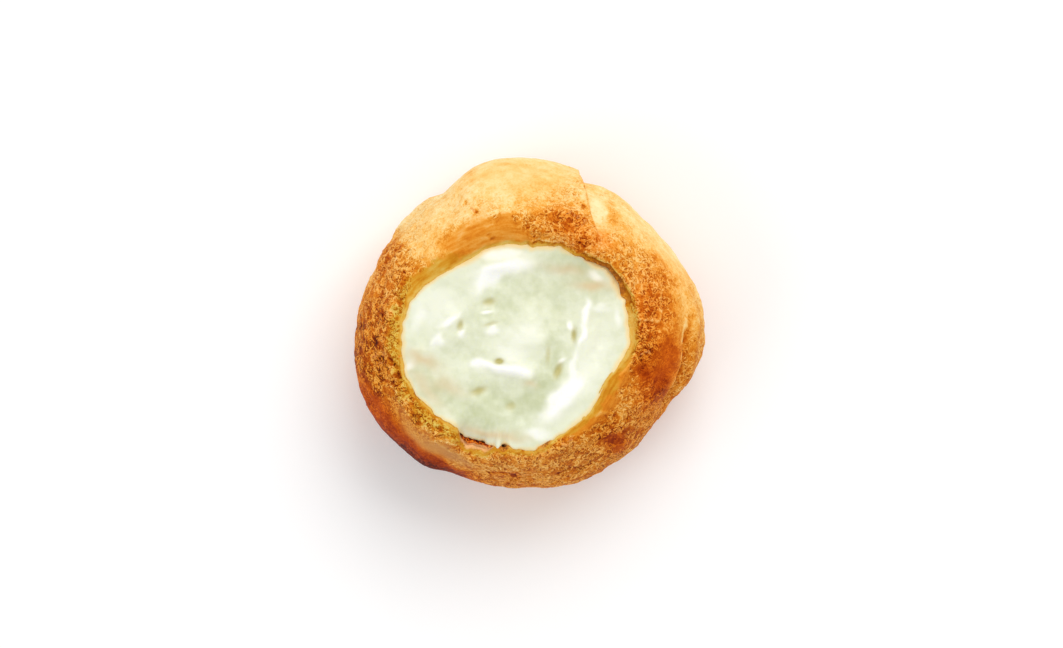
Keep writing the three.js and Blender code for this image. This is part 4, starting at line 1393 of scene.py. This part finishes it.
class PUFF_OT_crumbs(bpy.types.Operator):
    """Strews loose crumbs and flakes over the crackled parts of the crust"""

    bl_idname = "puff.crumbs"
    bl_label = "Crumbs"

    def execute(self, context):
        rng = np.random.default_rng(12)
        widest = BUN_RADIUS + max(one.swell for one in BUN_LOBES)
        plan = rng.uniform(-widest, widest, (CRUMB_TRIES, 2))
        kept = rng.random(CRUMB_TRIES) < oval_sum(CRUMB_ZONES, plan)
        bearing, climb = locate(plan[kept])
        on_crust = (climb > CRUMB_CLIMBS[0]) & (climb < CRUMB_CLIMBS[1])
        bearing, climb = bearing[on_crust], climb[on_crust]
        count = len(bearing)
        size = context.scene.puff_crumbs.size / MM * np.exp(CRUMB_SPREAD * rng.standard_normal((count, 1)))
        sizes = size * rng.uniform(*CRUMB_SHAPES, (count, 3))
        paler = rng.uniform(*CRUMB_PALER, count)

        # The splinters of the flakes, with the numbers of their ovals in columns.
        splinters = np.repeat(np.array(FLAKES), SPLINTERS, axis=0)
        middle, halves, turn, level = splinters[:, :2], splinters[:, 2:4], splinters[:, 4], splinters[:, 5]
        along, across = (rng.uniform(-0.75, 0.75, halves.shape) * halves).T[..., None]
        found = locate(middle + along * direction(turn) + across * direction(turn + 90))
        splinter_sizes = halves[:, 1:] * [0.7, 0.4, 0] + [0, 0, SPLINTER_THICKNESS]
        splinter_sizes = splinter_sizes * rng.uniform(0.5, 1.1, (len(turn), 1))
        crumb_turns = rng.uniform(0, 360, count)
        turns = np.append(crumb_turns, turn + 30 * rng.standard_normal(len(turn)))
        bearing, climb = np.append(bearing, found[0]), np.append(climb, found[1])
        places, finish = crust_surface(bearing, climb)
        normals = crust_normal(bearing, climb, torn_radius)
        normals = normals + CRUMB_LEAN * rng.standard_normal(normals.shape)
        normals = normals / np.linalg.norm(normals, axis=-1, keepdims=True)
        points, triangles, quads = lumps(places, normals, np.concatenate([sizes, splinter_sizes]), turns)
        crumbs = make_piece("crumbs", points + drawing_shift(), triangles, quads)

        each = len(points) // len(places)
        bake_and_shade = np.maximum(finish["bake_and_shade"][:count] - paler, CRUMB_PALEST)
        levels = dict.fromkeys(CHOUX_LEVELS, np.zeros(len(points))) | {
            "bake_and_shade": np.repeat(np.append(bake_and_shade, level), each),
            "crackle": np.full(len(points), 0.3),
            "crumb": np.repeat(np.where(np.arange(len(places)) < count, 0, 0.25), each),
            "red": np.repeat(0.4 * finish["red"], each),
            "band": np.zeros((len(points), 3)),
        }
        finish_piece(crumbs, bpy.data.objects["crust"].data.materials[0], levels)
        return {"FINISHED"}


class PUFF_OT_stage(bpy.types.Operator):
    """Sets the floor, the soft studio light and the camera"""

    bl_idname = "puff.stage"
    bl_label = "Floor, light and camera"

    def execute(self, context):
        settings = context.scene.puff_stage
        corners = [(x * FLOOR_HALF, y * FLOOR_HALF, 0) for x, y in ((-1, -1), (1, -1), (1, 1), (-1, 1))]
        mesh = bpy.data.meshes.new("floor")
        mesh.from_pydata(corners, [], [(0, 1, 2, 3)])
        floor = bpy.data.objects.new("floor", mesh)
        floor.data.materials.append(pale_card())
        context.scene.collection.objects.link(floor)

        world = bpy.data.worlds.new("studio")
        world.use_nodes = True
        background = world.node_tree.nodes["Background"]
        background.inputs["Color"].default_value = (1, 1, 1, 1)
        background.inputs["Strength"].default_value = settings.sky
        context.scene.world = world

        softboxes = (
            ("key", (0.22, 0.46, 0.68), (0.7, 0.5), settings.key_power),
            ("fill", (-0.55, -0.3, 0.55), (0.5, 0.5), settings.fill_power),
        )
        for name, place, size, power in softboxes:
            lamp = bpy.data.lights.new(name, "AREA")
            lamp.shape = "RECTANGLE"
            lamp.size, lamp.size_y = size
            lamp.energy = power
            box = bpy.data.objects.new(name, lamp)
            box.location = place
            box.rotation_euler = (Vector(LIT_PLACE) - box.location).to_track_quat("-Z", "Y").to_euler()
            context.scene.collection.objects.link(box)

        camera = bpy.data.objects.new("camera", bpy.data.cameras.new("camera"))
        camera.data.lens = LENS
        camera.location = (*CAMERA_PLAN, settings.camera_height)
        context.scene.collection.objects.link(camera)
        context.scene.camera = camera
        context.scene.view_settings.view_transform = "Standard"
        return {"FINISHED"}


class PUFF_PT_panel(bpy.types.Panel):
    """Lists the pieces of the cream puff and their settings"""

    bl_label = "Cream Puff"
    bl_idname = "PUFF_PT_panel"
    bl_space_type = "VIEW_3D"
    bl_region_type = "UI"
    bl_category = "Cream Puff"

    def draw(self, context):
        for name, group in SETTINGS.items():
            for prop in group.__annotations__:
                self.layout.prop(getattr(context.scene, name), prop)
        for operator in PIECES:
            self.layout.operator(operator.bl_idname)


SETTINGS = {
    "puff_crust": PuffCrustSettings,
    "puff_cream": PuffCreamSettings,
    "puff_crumbs": PuffCrumbSettings,
    "puff_stage": PuffStageSettings,
}
PIECES = (PUFF_OT_crust, PUFF_OT_cream, PUFF_OT_crumbs, PUFF_OT_stage)
CLASSES = (*SETTINGS.values(), *PIECES, PUFF_PT_panel)


def register():
    for cls in CLASSES:
        bpy.utils.register_class(cls)
    for name, group in SETTINGS.items():
        setattr(bpy.types.Scene, name, bpy.props.PointerProperty(type=group))


def unregister():
    for name in SETTINGS:
        delattr(bpy.types.Scene, name)
    for cls in reversed(CLASSES):
        bpy.utils.unregister_class(cls)


def main():
    register()
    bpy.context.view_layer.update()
    bpy.ops.puff.crust()
    bpy.ops.puff.cream()
    bpy.ops.puff.crumbs()
    bpy.ops.puff.stage()


if __name__ == "__main__":
    main()
